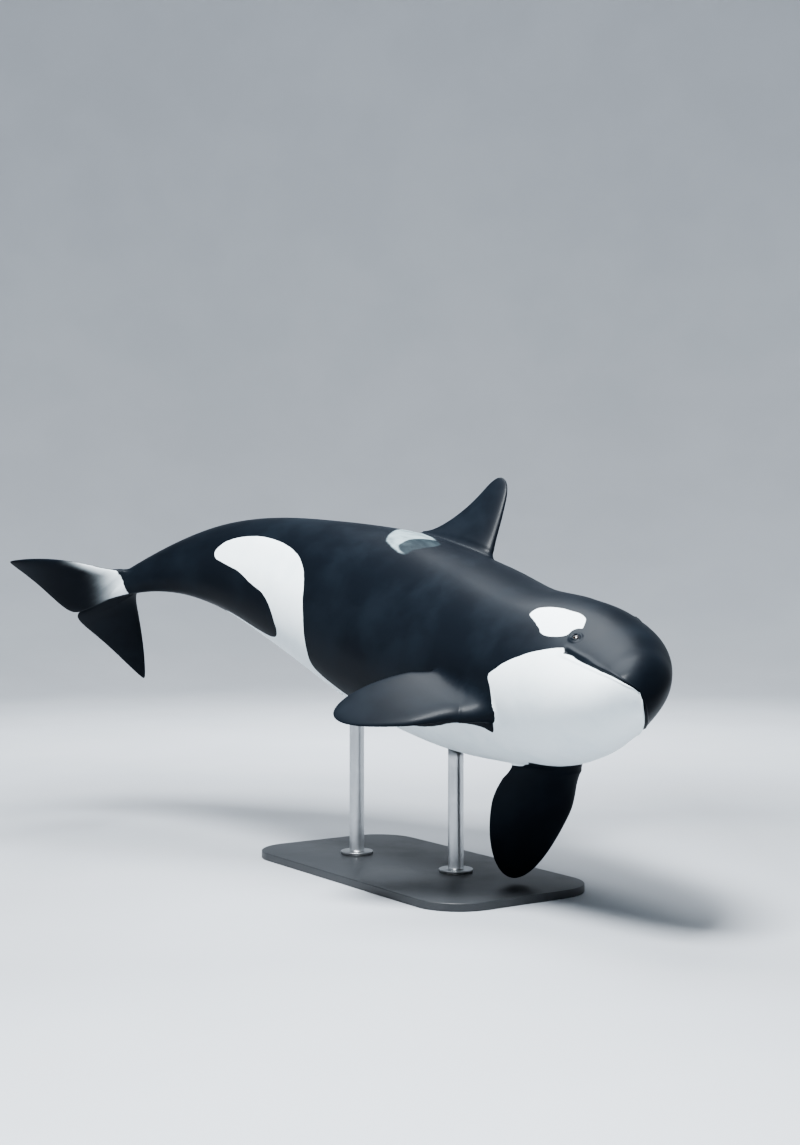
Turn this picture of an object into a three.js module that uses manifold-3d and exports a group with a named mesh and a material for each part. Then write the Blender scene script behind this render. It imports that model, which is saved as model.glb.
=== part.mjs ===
// A life-size killer whale, banking as it swims, held over a flat base by two short rods.
// Millimetres, +Z up, head towards +X, origin under the middle of the base.
// The body is first laid out straight: x runs back from the snout, y to the whale's left, z up.
// Every straight point is then bent along the spine into the swimming pose.
import * as THREE from 'three';
import { mergeVertices } from 'three/addons/utils/BufferGeometryUtils.js';
import Module from 'manifold-3d';

const wasm = await Module();
wasm.setup();

// Whole animal
const LENGTH = 5600;
const GAP = 0.3;

// Body sizes at stations back from the snout: height of the back over the axis, depth of the
// belly under it, and half width
const STATIONS = [
  { at: 0, back: 0, belly: 0, half: 0 },
  { at: 27, back: 133, belly: 53, half: 99 },
  { at: 95, back: 240, belly: 107, half: 153 },
  { at: 224, back: 335, belly: 184, half: 205 },
  { at: 504, back: 499, belly: 279, half: 302 },
  { at: 896, back: 592, belly: 394, half: 435 },
  { at: 1400, back: 588, belly: 492, half: 526 },
  { at: 2016, back: 645, belly: 583, half: 549 },
  { at: 2744, back: 645, belly: 594, half: 504 },
  { at: 3584, back: 491, belly: 471, half: 352 },
  { at: 4337, back: 341, belly: 308, half: 206 },
  { at: 5054, back: 115, belly: 136, half: 90 },
  { at: 5600, back: 16, belly: 16, half: 30 },
];
const SECTION_POWER = 0.95;
const MIDLINE_LIFT = 0.094;

// Pose: bends of the spine against the level chest, in degrees, and the attitude of the chest
const CHEST = 1960;
const BENDS = [
  { at: 0, pitch: 9.8, yaw: -28.4, roll: 24.1 },
  { at: 1120, pitch: 2.7, yaw: -11.1, roll: 6.2 },
  { at: 1960, pitch: 0, yaw: 0, roll: 0 },
  { at: 3080, pitch: 2.1, yaw: 18.8, roll: -1.4 },
  { at: 4200, pitch: 15.3, yaw: 19.2, roll: 6.1 },
  { at: 5320, pitch: 54.1, yaw: 26.0, roll: 14.5 },
];
const NOSE_DOWN = 12.3;
const BANK = 29.1;
const CHEST_PLACE = new THREE.Vector3(500, 110, 1410);

// Cuts between the lengths of the body
const NECK = 952;
const WAIST = 2040;
const VENT = 3360;
const STOCK = 4340;

// Head
const MOUTH_LENGTH = 549;
const MOUTH_RISE = 80;
const MOUTH_CURVE = 1.75;
const MOUTH_DIP = 31;
const MOUTH_ROUND = 20;
const JAW_SLANT = 360;
const GROOVE_DEPTH = 7;
const GROOVE_WIDTH = 6;
const LIP_HEIGHT = 5;
const LIP_OFFSET = 15;
const EYE_AT = 569;
const EYE_HEIGHT = 157;
const EYE_RADIUS = 32;
const EYE_BULGE = 12;
const LID_LENGTH = 38;
const LID_HEIGHT = 27;
const LID_RADIUS = 12;
const LID_SUNK = 4;
const BLOWHOLE_AT = 700;
const BLOWHOLE_HALF_WIDTH = 62;
const BLOWHOLE_SAG = 26;
const BLOWHOLE_RADIUS = 8;
const BLOWHOLE_RISE = 5;
const BLOWHOLE_LIP_RADIUS = 34;
const BLOWHOLE_LIP_SUNK = 26;

// Dorsal fin: places of its corners back from the snout, its height over the back, and the powers
// that curve its leading edge, its trailing edge and the end of its tip
const DORSAL = {
  front: 2295, back: 2927, tip: 2563, tipHalf: 77, height: 546, sunk: 45,
  leadCurve: 1.14, trailCurve: 1.93, tipCurve: 12,
};

// Flukes: where the leading edge leaves the stock, the tip, the notch, the half span and the bulge
// of the trailing edge, with the powers that curve the two edges, and the angles of the blade
const FLUKE = {
  front: 5175, notch: 5602, tip: 5640, halfSpan: 862, bulge: 82,
  leadCurve: 1.153, bulgeCurve: 0.387, lift: 10.0, droop: -17.4, tilt: 5.3,
};

// Flippers: root on the chest, length, width, the share of the width at the root and the length
// over which it swells, where the tip begins to round off, and for each side its own angles
const FLIPPER = {
  at: 1213, side: 323, below: 280, length: 870, width: 551, sweep: -16,
  rootWidth: 0.762, swellOver: 0.466, tipFrom: 0.263, tipCurve: 1.943,
};
const FLIPPER_RIGHT = { side: -1, sweep: 32.6, droop: 36.5, twist: 31.3, bend: -0.082 };
const FLIPPER_LEFT = { side: 1, sweep: 26.0, droop: 59.0, twist: 79.9, bend: 0.170 };

// Root of each fin: half thickness, the share of its length where its sunk end and the skin lie,
// how far its edges and faces flare at the skin, and the share over which the flare dies away
const DORSAL_ROOT = { half: 48, sunk: 0, inside: 0.075, lead: 77, trail: 45, swell: 22, reach: 0.045 };
const FLUKE_ROOT = { half: 44, sunk: 0, inside: 0.11, lead: 110, trail: 0, swell: 14, reach: 0.055 };
const FLIPPER_ROOT = { half: 48, sunk: -0.2, inside: 0.08, lead: 40, trail: 25, swell: 20, reach: 0.07 };

// Stand
const BASE = { length: 2400, width: 1200, height: 50, corner: 300, chamfer: 6 };
const ROD = { radius: 50, flange: 110, flangeHeight: 22 };
const ROD_FRONT = { x: 350, y: 85 };
const ROD_REAR = { x: -560, y: -90 };

// Fineness of the facets
const RINGS = 44;
const FIRST_RING = 1.2;
const SIDE_LINES = 8;
const FIN_ROWS = 13;
const FOIL_STEPS = 8;
const SPINE_STEPS = 240;

const rad = THREE.MathUtils.degToRad;
const { clamp, lerp, smoothstep } = THREE.MathUtils;

// A curve through (knot, value) pairs, smooth at every knot
function smoothThrough(knots, values) {
  const last = knots.length - 1;
  const span = (i) => knots[i + 1] - knots[i];
  const rise = (i) => (values[i + 1] - values[i]) / span(i);
  const slope = knots.map((knot, i) => {
    if (i === 0 || i === last) return 0;
    return (rise(i - 1) * span(i) + rise(i) * span(i - 1)) / (span(i) + span(i - 1));
  });
  slope[0] = 1.5 * rise(0) - 0.5 * slope[1];
  slope[last] = 1.5 * rise(last - 1) - 0.5 * slope[last - 1];
  return (x) => {
    const inside = clamp(x, knots[0], knots[last]);
    let i = 0;
    while (i < last - 1 && inside >= knots[i + 1]) i += 1;
    const t = (inside - knots[i]) / span(i);
    const start = (2 * t ** 3 - 3 * t ** 2 + 1) * values[i] + (t ** 3 - 2 * t ** 2 + t) * span(i) * slope[i];
    const end = (3 * t ** 2 - 2 * t ** 3) * values[i + 1] + (t ** 3 - t ** 2) * span(i) * slope[i + 1];
    return start + end;
  };
}

// The body's outline runs over the root of the distance, which rounds the snout
const rootOf = (x) => Math.sqrt(clamp(x / LENGTH, 0, 1));
const stationRoots = STATIONS.map((station) => rootOf(station.at));
const backAt = smoothThrough(stationRoots, STATIONS.map((station) => station.back));
const bellyAt = smoothThrough(stationRoots, STATIONS.map((station) => station.belly));
const halfWidthAt = smoothThrough(stationRoots, STATIONS.map((station) => station.half));

const bendPlaces = BENDS.map((bend) => bend.at);
const pitchAt = smoothThrough(bendPlaces, BENDS.map((bend) => rad(bend.pitch)));
const yawAt = smoothThrough(bendPlaces, BENDS.map((bend) => rad(bend.yaw)));
const rollAt = smoothThrough(bendPlaces, BENDS.map((bend) => rad(bend.roll)));

// Directions of a body part that points along yaw and pitch and is rolled to its left
function directions(yaw, pitch, roll) {
  const ahead = new THREE.Vector3(
    Math.cos(yaw) * Math.cos(pitch), Math.sin(yaw) * Math.cos(pitch), Math.sin(pitch),
  );
  const level = new THREE.Vector3(-Math.sin(yaw), Math.cos(yaw), 0);
  const upright = ahead.clone().cross(level);
  const left = level.clone().multiplyScalar(Math.cos(roll)).addScaledVector(upright, -Math.sin(roll));
  const up = upright.clone().multiplyScalar(Math.cos(roll)).addScaledVector(level, Math.sin(roll));
  return { ahead, left, up };
}

const spineAxes = (x) => directions(yawAt(x), pitchAt(x), rollAt(x));

// The spine's line, added up in short steps and moved so that the chest is its origin
const SPINE_START = -0.02 * LENGTH;
const SPINE_STEP = (1.06 * LENGTH) / SPINE_STEPS;
const spineLine = [new THREE.Vector3()];
for (let i = 0; i < SPINE_STEPS; i += 1) {
  const from = spineAxes(SPINE_START + i * SPINE_STEP).ahead;
  const to = spineAxes(SPINE_START + (i + 1) * SPINE_STEP).ahead;
  spineLine.push(spineLine[i].clone().addScaledVector(from.add(to), -SPINE_STEP / 2));
}

function spinePlace(x) {
  const step = clamp((x - SPINE_START) / SPINE_STEP, 0, SPINE_STEPS - 1e-6);
  const i = Math.floor(step);
  return spineLine[i].clone().lerp(spineLine[i + 1], step - i);
}

const chestPlace = spinePlace(CHEST);
const chest = directions(0, rad(-NOSE_DOWN), rad(BANK));
const chestTurn = new THREE.Matrix4().makeBasis(chest.ahead, chest.left, chest.up);

// A straight point bent into the pose
function pose(point) {
  const { left, up } = spineAxes(point.x);
  const bent = spinePlace(point.x).sub(chestPlace).addScaledVector(left, point.y).addScaledVector(up, point.z);
  return bent.applyMatrix4(chestTurn).add(CHEST_PLACE);
}

// Skin of the straight body: the angle runs from the left side (0) over the back (a quarter turn)
function plainSkin(x, angle) {
  const back = backAt(rootOf(x));
  const belly = bellyAt(rootOf(x));
  const middle = ((back - belly) / 2) * MIDLINE_LIFT;
  const across = Math.cos(angle);
  const rise = Math.sin(angle);
  const reach = rise > 0 ? back - middle : belly + middle;
  return new THREE.Vector3(
    x,
    halfWidthAt(rootOf(x)) * Math.sign(across) * Math.abs(across) ** SECTION_POWER,
    middle + reach * Math.sign(rise) * Math.abs(rise) ** SECTION_POWER,
  );
}

function skinNormal(x, angle) {
  const stepX = Math.min(4, x / 4);
  const alongBody = plainSkin(x + stepX, angle).sub(plainSkin(x - stepX, angle));
  const aroundBody = plainSkin(x, angle + 0.01).sub(plainSkin(x, angle - 0.01));
  return aroundBody.cross(alongBody).normalize();
}

// The angle at which the section at x stands at a given height on the whale's left
function angleAtHeight(x, height) {
  const back = backAt(rootOf(x));
  const belly = bellyAt(rootOf(x));
  const middle = ((back - belly) / 2) * MIDLINE_LIFT;
  const above = height > middle;
  const share = above ? (height - middle) / (back - middle) : (middle - height) / (belly + middle);
  return (above ? 1 : -1) * Math.asin(Math.min(share, 0.98) ** (1 / SECTION_POWER));
}

// Line of the mouth, which dips under the snout and rises to the corner
function mouthHeight(x) {
  const inside = clamp(x, 0, MOUTH_LENGTH);
  const dip = MOUTH_DIP * (1 - Math.exp(-inside / MOUTH_ROUND));
  return MOUTH_RISE * (inside / MOUTH_LENGTH) ** MOUTH_CURVE - dip;
}
const mouthAngle = (x) => angleAtHeight(x, mouthHeight(x));

// Raised lips with the groove of the mouth between them, fading out at the corner
function lipLift(x, distance) {
  const groove = -GROOVE_DEPTH * Math.exp(-((distance / GROOVE_WIDTH) ** 2));
  const lip = LIP_HEIGHT * Math.exp(-(((Math.abs(distance) - LIP_OFFSET) / GROOVE_WIDTH) ** 2));
  return (groove + lip) * (1 - smoothstep(x, MOUTH_LENGTH - 30, MOUTH_LENGTH + 30));
}

// Angles of one ring on the left side, from belly to back, gathered at the line of the mouth
const LIP_LINES = [0, 5, LIP_OFFSET, 32];
const EVEN_STEP = Math.PI / (2 * SIDE_LINES + 2 * (LIP_LINES.length - 1));
function ringAngles(x) {
  const guide = mouthAngle(x);
  const radius = Math.max(halfWidthAt(rootOf(x)), 80);
  const spread = smoothstep(x, MOUTH_LENGTH + 40, NECK + 200);
  const offsets = LIP_LINES.map((distance, i) => lerp(distance / radius, i * EVEN_STEP, spread));
  const edge = offsets[offsets.length - 1];
  const angles = [];
  for (let i = 0; i < SIDE_LINES; i += 1) {
    angles.push(lerp(-Math.PI / 2, guide - edge, i / SIDE_LINES));
  }
  offsets.slice(1).reverse().forEach((offset) => angles.push(guide - offset));
  offsets.forEach((offset) => angles.push(guide + offset));
  for (let i = 1; i <= SIDE_LINES; i += 1) {
    angles.push(lerp(guide + edge, Math.PI / 2, i / SIDE_LINES));
  }
  return angles;
}

// One ring of skin points, the left side up to the back and down the right side
function ring(x, lift) {
  const guide = mouthAngle(x);
  const radius = Math.max(halfWidthAt(rootOf(x)), 80);
  const left = ringAngles(x).map((angle) => {
    const distance = (angle - guide) * radius;
    return plainSkin(x, angle).addScaledVector(skinNormal(x, angle), lift + lipLift(x, distance));
  });
  const right = left.slice(1, -1).reverse().map((point) => new THREE.Vector3(point.x, -point.y, point.z));
  return left.concat(right);
}

// A closed body through loops of points, each end closed by a fan round its own point
function loft(loops, startPoint, endPoint, splitAlike = false) {
  const count = loops[0].length;
  const points = loops.flat();
  const faces = [];
  for (let i = 0; i < loops.length - 1; i += 1) {
    for (let j = 0; j < count; j += 1) {
      const a = i * count + j;
      const b = i * count + ((j + 1) % count);
      const c = b + count;
      const d = a + count;
      if (splitAlike && j >= count / 2) faces.push([a, b, d], [b, c, d]);
      else faces.push([a, b, c], [a, c, d]);
    }
  }
  const first = points.push(startPoint) - 1;
  const last = points.push(endPoint) - 1;
  const end = (loops.length - 1) * count;
  for (let j = 0; j < count; j += 1) {
    const next = (j + 1) % count;
    faces.push([first, next, j], [last, end + j, end + next]);
  }
  return solid(points, faces);
}

function middleOf(loop) {
  return loop.reduce((sum, point) => sum.add(point), new THREE.Vector3()).divideScalar(loop.length);
}

// A manifold from points and faces, turned inside out where its volume comes out negative
function solid(points, faces) {
  const volume = faces.reduce((sum, [a, b, c]) => (
    sum + points[a].dot(points[b].clone().cross(points[c]))
  ), 0);
  const outward = volume > 0 ? faces : faces.map(([a, b, c]) => [a, c, b]);
  const geometry = new THREE.BufferGeometry();
  geometry.setAttribute('position', new THREE.BufferAttribute(
    new Float32Array(points.flatMap((point) => point.toArray())), 3,
  ));
  geometry.setIndex(outward.flat());
  return toSolid(geometry);
}

function toSolid(geometry) {
  geometry.deleteAttribute('normal');
  geometry.deleteAttribute('uv');
  const merged = mergeVertices(geometry, 1e-4);
  return new wasm.Manifold(new wasm.Mesh({
    numProp: 3,
    vertProperties: new Float32Array(merged.attributes.position.array),
    triVerts: new Uint32Array(merged.index.array),
  }));
}

// The largest closed surface of a solid as a geometry
function toGeometry(body) {
  const pieces = body.decompose();
  const largest = pieces.reduce((best, piece) => (piece.volume() > best.volume() ? piece : best));
  const mesh = largest.getMesh();
  const geometry = new THREE.BufferGeometry();
  geometry.setAttribute('position', new THREE.BufferAttribute(new Float32Array(mesh.vertProperties), 3));
  geometry.setIndex([...mesh.triVerts]);
  geometry.computeVertexNormals();
  return geometry;
}

// Places of the rings, evenly spaced over the root of the distance, with a ring at every cut
const cutPlaces = [NECK, WAIST, VENT, STOCK].flatMap((cut) => [cut - GAP / 2, cut + GAP / 2]);
const evenPlaces = Array.from({ length: RINGS }, (unused, i) => LENGTH * ((i + 1) / RINGS) ** 2);
const clearPlaces = evenPlaces.filter((x) => cutPlaces.every((cut) => Math.abs(cut - x) > 8));
const ringPlaces = [FIRST_RING, ...clearPlaces, ...cutPlaces].sort((a, b) => a - b);

// A length of the body between two places, lifted off the skin where asked
function bodyLength(start, end, lift = 0) {
  const loops = ringPlaces.filter((x) => x >= start && x <= end).map((x) => ring(x, lift).map(pose));
  const snout = pose(new THREE.Vector3(GROOVE_DEPTH - lift, 0, 0));
  return loft(loops, start === 0 ? snout : middleOf(loops[0]), middleOf(loops[loops.length - 1]));
}

// Everything under the line of the mouth and ahead of a slanted cut behind its corner
function underMouth(shift) {
  const loops = [];
  const steps = 14;
  for (let i = -1; i <= steps; i += 1) {
    const share = i / steps;
    const x = MOUTH_LENGTH * Math.sign(share) * share ** 2;
    const top = mouthHeight(x) + shift;
    const behind = x + JAW_SLANT * Math.max(share, 0);
    const back = i === steps ? shift : 0;
    loops.push([
      new THREE.Vector3(x + back, 600, top),
      new THREE.Vector3(x + back, -600, top),
      new THREE.Vector3(behind + back, -600, -600),
      new THREE.Vector3(behind + back, 600, -600),
    ]);
  }
  const front = loops[0].map((point) => point.setX(-90));
  loops[0] = front;
  const posed = loops.map((loop) => loop.map(pose));
  return loft(posed, middleOf(posed[0]), middleOf(posed[posed.length - 1]));
}

// Thickness of a fin over its chord: round in front, finer and blunt behind
const foil = (share) => 2.32 * Math.sqrt(share) * (1 - share) ** 0.75;

// One loop of a fin: leading edge, trailing edge, the direction of its thickness, half thickness
function foilLoop(lead, trail, across, halfThickness) {
  const upper = [];
  const lower = [];
  for (let i = 0; i <= FOIL_STEPS; i += 1) {
    const share = (1 - Math.cos((Math.PI * i) / FOIL_STEPS)) / 2;
    const middle = lead.clone().lerp(trail, share);
    upper.push(middle.clone().addScaledVector(across, halfThickness * foil(share)));
    lower.push(middle.clone().addScaledVector(across, -halfThickness * foil(share)));
  }
  return upper.concat(lower.slice(1, -1).reverse());
}

// Shares of a fin's length: its sunk end, then rows that gather at the skin and at the tip
function finShares(sunk, inside) {
  const shares = [sunk];
  for (let i = 0; i < FIN_ROWS; i += 1) {
    shares.push(lerp(inside, 1, (1 - Math.cos((Math.PI * i) / FIN_ROWS)) / 2));
  }
  return shares;
}

// A fin from a function that gives the edges and the thickness direction at a share of its length
function fin(edges, root) {
  const loops = finShares(root.sunk, root.inside).map((share) => {
    const { lead, trail, across } = edges(share);
    const flare = Math.exp(-Math.max(share - root.inside, 0) / root.reach);
    const along = trail.clone().sub(lead).normalize();
    lead.addScaledVector(along, -root.lead * flare);
    trail.addScaledVector(along, root.trail * flare);
    const thick = root.half * (1 - 0.72 * share) * Math.sqrt(1 - share ** 8) + root.swell * flare;
    return foilLoop(lead, trail, across, thick).map(pose);
  });
  const { lead, trail } = edges(1);
  return loft(loops, middleOf(loops[0]), pose(lead.lerp(trail, 0.5)), true);
}

// Shrinks the chord to a point at the tip while it stays full before it
function closeTip(lead, trail, share, power) {
  const middle = lead.clone().lerp(trail, 0.5);
  const keep = Math.sqrt(1 - share ** power);
  return [middle.clone().lerp(lead, keep), middle.clone().lerp(trail, keep)];
}

function dorsalEdges(share) {
  const foot = backAt(rootOf((DORSAL.front + DORSAL.back) / 2)) - DORSAL.sunk;
  const z = foot + share * (DORSAL.height + DORSAL.sunk);
  const front = lerp(DORSAL.front, DORSAL.tip - DORSAL.tipHalf, share ** DORSAL.leadCurve);
  const back = lerp(DORSAL.back, DORSAL.tip + DORSAL.tipHalf, 1 - (1 - share) ** DORSAL.trailCurve);
  const corners = [new THREE.Vector3(front, 0, z), new THREE.Vector3(back, 0, z)];
  const [lead, trail] = closeTip(...corners, share, DORSAL.tipCurve);
  return { lead, trail, across: new THREE.Vector3(0, 1, 0) };
}

function flukeEdges(side, share) {
  const rise = rad(FLUKE.lift) + rad(FLUKE.droop) * share;
  const y = side * (GAP / 2 + share * FLUKE.halfSpan * Math.cos(rise));
  const z = share * FLUKE.halfSpan * Math.sin(rise);
  const place = (x) => {
    const behind = x - 5208;
    return new THREE.Vector3(5208 + behind * Math.cos(rad(FLUKE.tilt)), y, z - behind * Math.sin(rad(FLUKE.tilt)));
  };
  const front = lerp(FLUKE.front, FLUKE.tip - 45, share ** FLUKE.leadCurve);
  const bulge = FLUKE.bulge * Math.sin(Math.PI * share ** FLUKE.bulgeCurve);
  const back = lerp(FLUKE.notch, FLUKE.tip + 22, share) + bulge;
  const [lead, trail] = closeTip(place(front), place(back), share, 10);
  return { lead, trail, across: new THREE.Vector3(0, 0, 1) };
}

function flipperEdges({ side, sweep, droop, twist, bend }, share) {
  const [cs, ss] = [Math.cos(rad(sweep)), Math.sin(rad(sweep))];
  const [cd, sd] = [Math.cos(rad(droop)), Math.sin(rad(droop))];
  const out = new THREE.Vector3(ss, side * cs * cd, -cs * sd);
  const behind = new THREE.Vector3(cs, -side * ss * cd, ss * sd);
  const face = out.clone().cross(behind);
  const chord = behind.multiplyScalar(Math.cos(rad(twist))).addScaledVector(face, Math.sin(rad(twist)));
  const across = out.clone().cross(chord);
  const middle = new THREE.Vector3(FLIPPER.at, side * FLIPPER.side, -FLIPPER.below)
    .addScaledVector(out, share * FLIPPER.length)
    .addScaledVector(across, share ** 2 * FLIPPER.length * bend)
    .addScaledVector(chord, share ** 2 * FLIPPER.sweep);
  const swell = lerp(FLIPPER.rootWidth, 1, smoothstep(share, 0, FLIPPER.swellOver));
  const sunken = 1 + 2.5 * Math.min(share, 0);
  const towardsTip = clamp((share - FLIPPER.tipFrom) / (1 - FLIPPER.tipFrom), 0, 1);
  const half = (FLIPPER.width / 2) * swell * sunken * Math.sqrt(1 - towardsTip ** FLIPPER.tipCurve);
  return {
    lead: middle.clone().addScaledVector(chord, -half),
    trail: middle.clone().addScaledVector(chord, half),
    across,
  };
}

// Place, outward direction and the two directions along the skin at the eye of one side
function eyeSocket(side) {
  const angle = angleAtHeight(EYE_AT, EYE_HEIGHT);
  const surface = plainSkin(EYE_AT, angle);
  const out = skinNormal(EYE_AT, angle);
  surface.y *= side;
  out.y *= side;
  const along = new THREE.Vector3(1, 0, 0).projectOnPlane(out).normalize();
  const up = along.clone().cross(out).multiplyScalar(-side).normalize();
  return { surface, out, along, up };
}

function eyeball(side, grow) {
  const { surface, out } = eyeSocket(side);
  const centre = pose(surface.addScaledVector(out, EYE_BULGE - EYE_RADIUS));
  const ball = new THREE.SphereGeometry(EYE_RADIUS + grow, 18, 11);
  ball.translate(centre.x, centre.y, centre.z);
  return toSolid(ball);
}

// A ring of lid round the eye, almond shaped, thickest over the middle of the eye
function lids(side) {
  const { surface, out, along, up } = eyeSocket(side);
  const around = 22;
  const tube = 8;
  const points = [];
  const faces = [];
  for (let i = 0; i < around; i += 1) {
    const turn = (2 * Math.PI * i) / around;
    const rim = surface.clone()
      .addScaledVector(along, LID_LENGTH * Math.cos(turn))
      .addScaledVector(up, LID_HEIGHT * Math.sin(turn) * Math.abs(Math.sin(turn)) ** 0.25);
    const outwards = rim.clone().sub(surface).normalize();
    const half = LID_RADIUS * (0.85 + 0.15 * Math.abs(Math.sin(turn)));
    for (let j = 0; j < tube; j += 1) {
      const roll = (2 * Math.PI * j) / tube;
      const point = rim.clone()
        .addScaledVector(outwards, half * Math.cos(roll))
        .addScaledVector(out, half * Math.sin(roll) - LID_SUNK);
      points.push(pose(point));
      const a = i * tube + j;
      const b = i * tube + ((j + 1) % tube);
      const c = ((i + 1) % around) * tube + ((j + 1) % tube);
      const d = ((i + 1) % around) * tube + j;
      faces.push([a, b, c], [a, c, d]);
    }
  }
  return solid(points, faces);
}

// A bent bar along the crescent of the blowhole, tapering to both ends
function crescent(halfWidth, radius, lift) {
  const loops = [];
  const steps = 12;
  for (let i = 0; i <= steps; i += 1) {
    const share = (2 * i) / steps - 1;
    const x = BLOWHOLE_AT + BLOWHOLE_SAG * (1 - share ** 2);
    const angle = Math.PI / 2 - (share * halfWidth) / backAt(rootOf(x));
    const centre = plainSkin(x, angle);
    const out = skinNormal(x, angle);
    const half = radius * Math.sqrt(1.05 - share ** 2);
    const loop = [];
    for (let j = 0; j < 8; j += 1) {
      const roll = (2 * Math.PI * j) / 8;
      loop.push(centre.clone()
        .addScaledVector(new THREE.Vector3(1, 0, 0), half * Math.cos(roll))
        .addScaledVector(out, lift + half * Math.sin(roll)));
    }
    loops.push(loop.map(pose));
  }
  return loft(loops, middleOf(loops[0]), middleOf(loops[steps]));
}

// The stand's plate: stacked outlines of a rectangle with round corners, chamfered at both edges
function baseOutline(z, inset) {
  const reachX = BASE.length / 2 - BASE.corner;
  const reachY = BASE.width / 2 - BASE.corner;
  const loop = [];
  const turns = 9;
  [[1, 1], [-1, 1], [-1, -1], [1, -1]].forEach(([sx, sy], quarter) => {
    for (let i = 0; i <= turns; i += 1) {
      const angle = (Math.PI / 2) * (quarter + i / turns);
      const radius = BASE.corner - inset;
      loop.push(new THREE.Vector3(
        sx * reachX + radius * Math.cos(angle), sy * reachY + radius * Math.sin(angle), z,
      ));
    }
  });
  return loop;
}

function basePlate() {
  const loops = [
    baseOutline(0, BASE.chamfer),
    baseOutline(BASE.chamfer, 0),
    baseOutline(BASE.height - BASE.chamfer, 0),
    baseOutline(BASE.height, BASE.chamfer),
  ];
  return loft(loops, new THREE.Vector3(0, 0, 0), new THREE.Vector3(0, 0, BASE.height));
}

// An upright rod with a flange on the plate, reaching into the belly before it is cut there
function rod(place) {
  const profile = [
    new THREE.Vector2(0, BASE.height + GAP),
    new THREE.Vector2(ROD.flange, BASE.height + GAP),
    new THREE.Vector2(ROD.flange, BASE.height + ROD.flangeHeight - 6),
    new THREE.Vector2(ROD.flange - 6, BASE.height + ROD.flangeHeight),
    new THREE.Vector2(ROD.radius + 10, BASE.height + ROD.flangeHeight),
    new THREE.Vector2(ROD.radius, BASE.height + ROD.flangeHeight + 10),
    new THREE.Vector2(ROD.radius, CHEST_PLACE.z),
    new THREE.Vector2(0, CHEST_PLACE.z),
  ];
  const geometry = new THREE.LatheGeometry(profile, 32);
  geometry.rotateX(Math.PI / 2);
  geometry.translate(place.x, place.y, 0);
  return toSolid(geometry);
}

const black = new THREE.MeshStandardMaterial({ color: 0x10151c, roughness: 0.35, metalness: 0 });
const white = new THREE.MeshStandardMaterial({ color: 0xe9eef0, roughness: 0.35, metalness: 0 });
const eyeDark = new THREE.MeshStandardMaterial({ color: 0x1a120c, roughness: 0.08, metalness: 0 });
const standPaint = new THREE.MeshStandardMaterial({ color: 0x2b2e31, roughness: 0.5, metalness: 0.2 });
const rodSteel = new THREE.MeshStandardMaterial({ color: 0xb5b8ba, roughness: 0.3, metalness: 1 });

const orca = new THREE.Group();
function addPart(name, body, material) {
  const mesh = new THREE.Mesh(toGeometry(body), material);
  mesh.name = name;
  orca.add(mesh);
}

// Whole body a touch larger than the real one, which cuts whatever meets the skin
const grownBody = bodyLength(0, LENGTH, GAP);

const wholeHead = bodyLength(0, NECK - GAP / 2)
  .add(lids(1)).add(lids(-1))
  .add(crescent(BLOWHOLE_HALF_WIDTH + 24, BLOWHOLE_LIP_RADIUS, -BLOWHOLE_LIP_SUNK))
  .subtract(crescent(BLOWHOLE_HALF_WIDTH, BLOWHOLE_RADIUS, BLOWHOLE_RISE))
  .subtract(eyeball(1, GAP)).subtract(eyeball(-1, GAP));
addPart('head', wholeHead.subtract(underMouth(GAP / 2)), black);
addPart('lower_jaw', wholeHead.intersect(underMouth(-GAP / 2)), white);
addPart('eye_left', eyeball(1, 0), eyeDark);
addPart('eye_right', eyeball(-1, 0), eyeDark);

addPart('torso_front', bodyLength(NECK + GAP / 2, WAIST - GAP / 2), black);
addPart('torso_rear', bodyLength(WAIST + GAP / 2, VENT - GAP / 2), black);
addPart('tail_root', bodyLength(VENT + GAP / 2, STOCK - GAP / 2), black);
addPart('tail_stock', bodyLength(STOCK + GAP / 2, LENGTH), black);

addPart('dorsal_fin', fin(dorsalEdges, DORSAL_ROOT).subtract(grownBody), black);
for (const [name, side] of [['fluke_left', 1], ['fluke_right', -1]]) {
  const edges = (share) => flukeEdges(side, share);
  addPart(name, fin(edges, FLUKE_ROOT).subtract(grownBody), black);
}
for (const [name, limb] of [['flipper_left', FLIPPER_LEFT], ['flipper_right', FLIPPER_RIGHT]]) {
  const edges = (share) => flipperEdges(limb, share);
  addPart(name, fin(edges, FLIPPER_ROOT).subtract(grownBody), black);
}

addPart('stand_base', basePlate(), standPaint);
addPart('stand_rod_front', rod(ROD_FRONT).subtract(grownBody), rodSteel);
addPart('stand_rod_rear', rod(ROD_REAR).subtract(grownBody), rodSteel);

export default orca;
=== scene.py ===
# %% [markdown]
# # A life-size orca, turning as it swims
#
# This lesson dresses a CAD model of an orca. The CAD gives a frame of plain solids in the right
# places. Here one smooth skin takes the place of all its flesh, with lips, eyelids, a blowhole and
# the black and white markings. The eyes and the display stand get their own finished pieces.
#
# The body is first made straight, with x running back from the snout, y to the animal's left and
# z up. Everything is measured and painted on that straight body, and the last step bends it into
# the swimming pose. That keeps every formula short.

# %% Load the frame
import math

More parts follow.
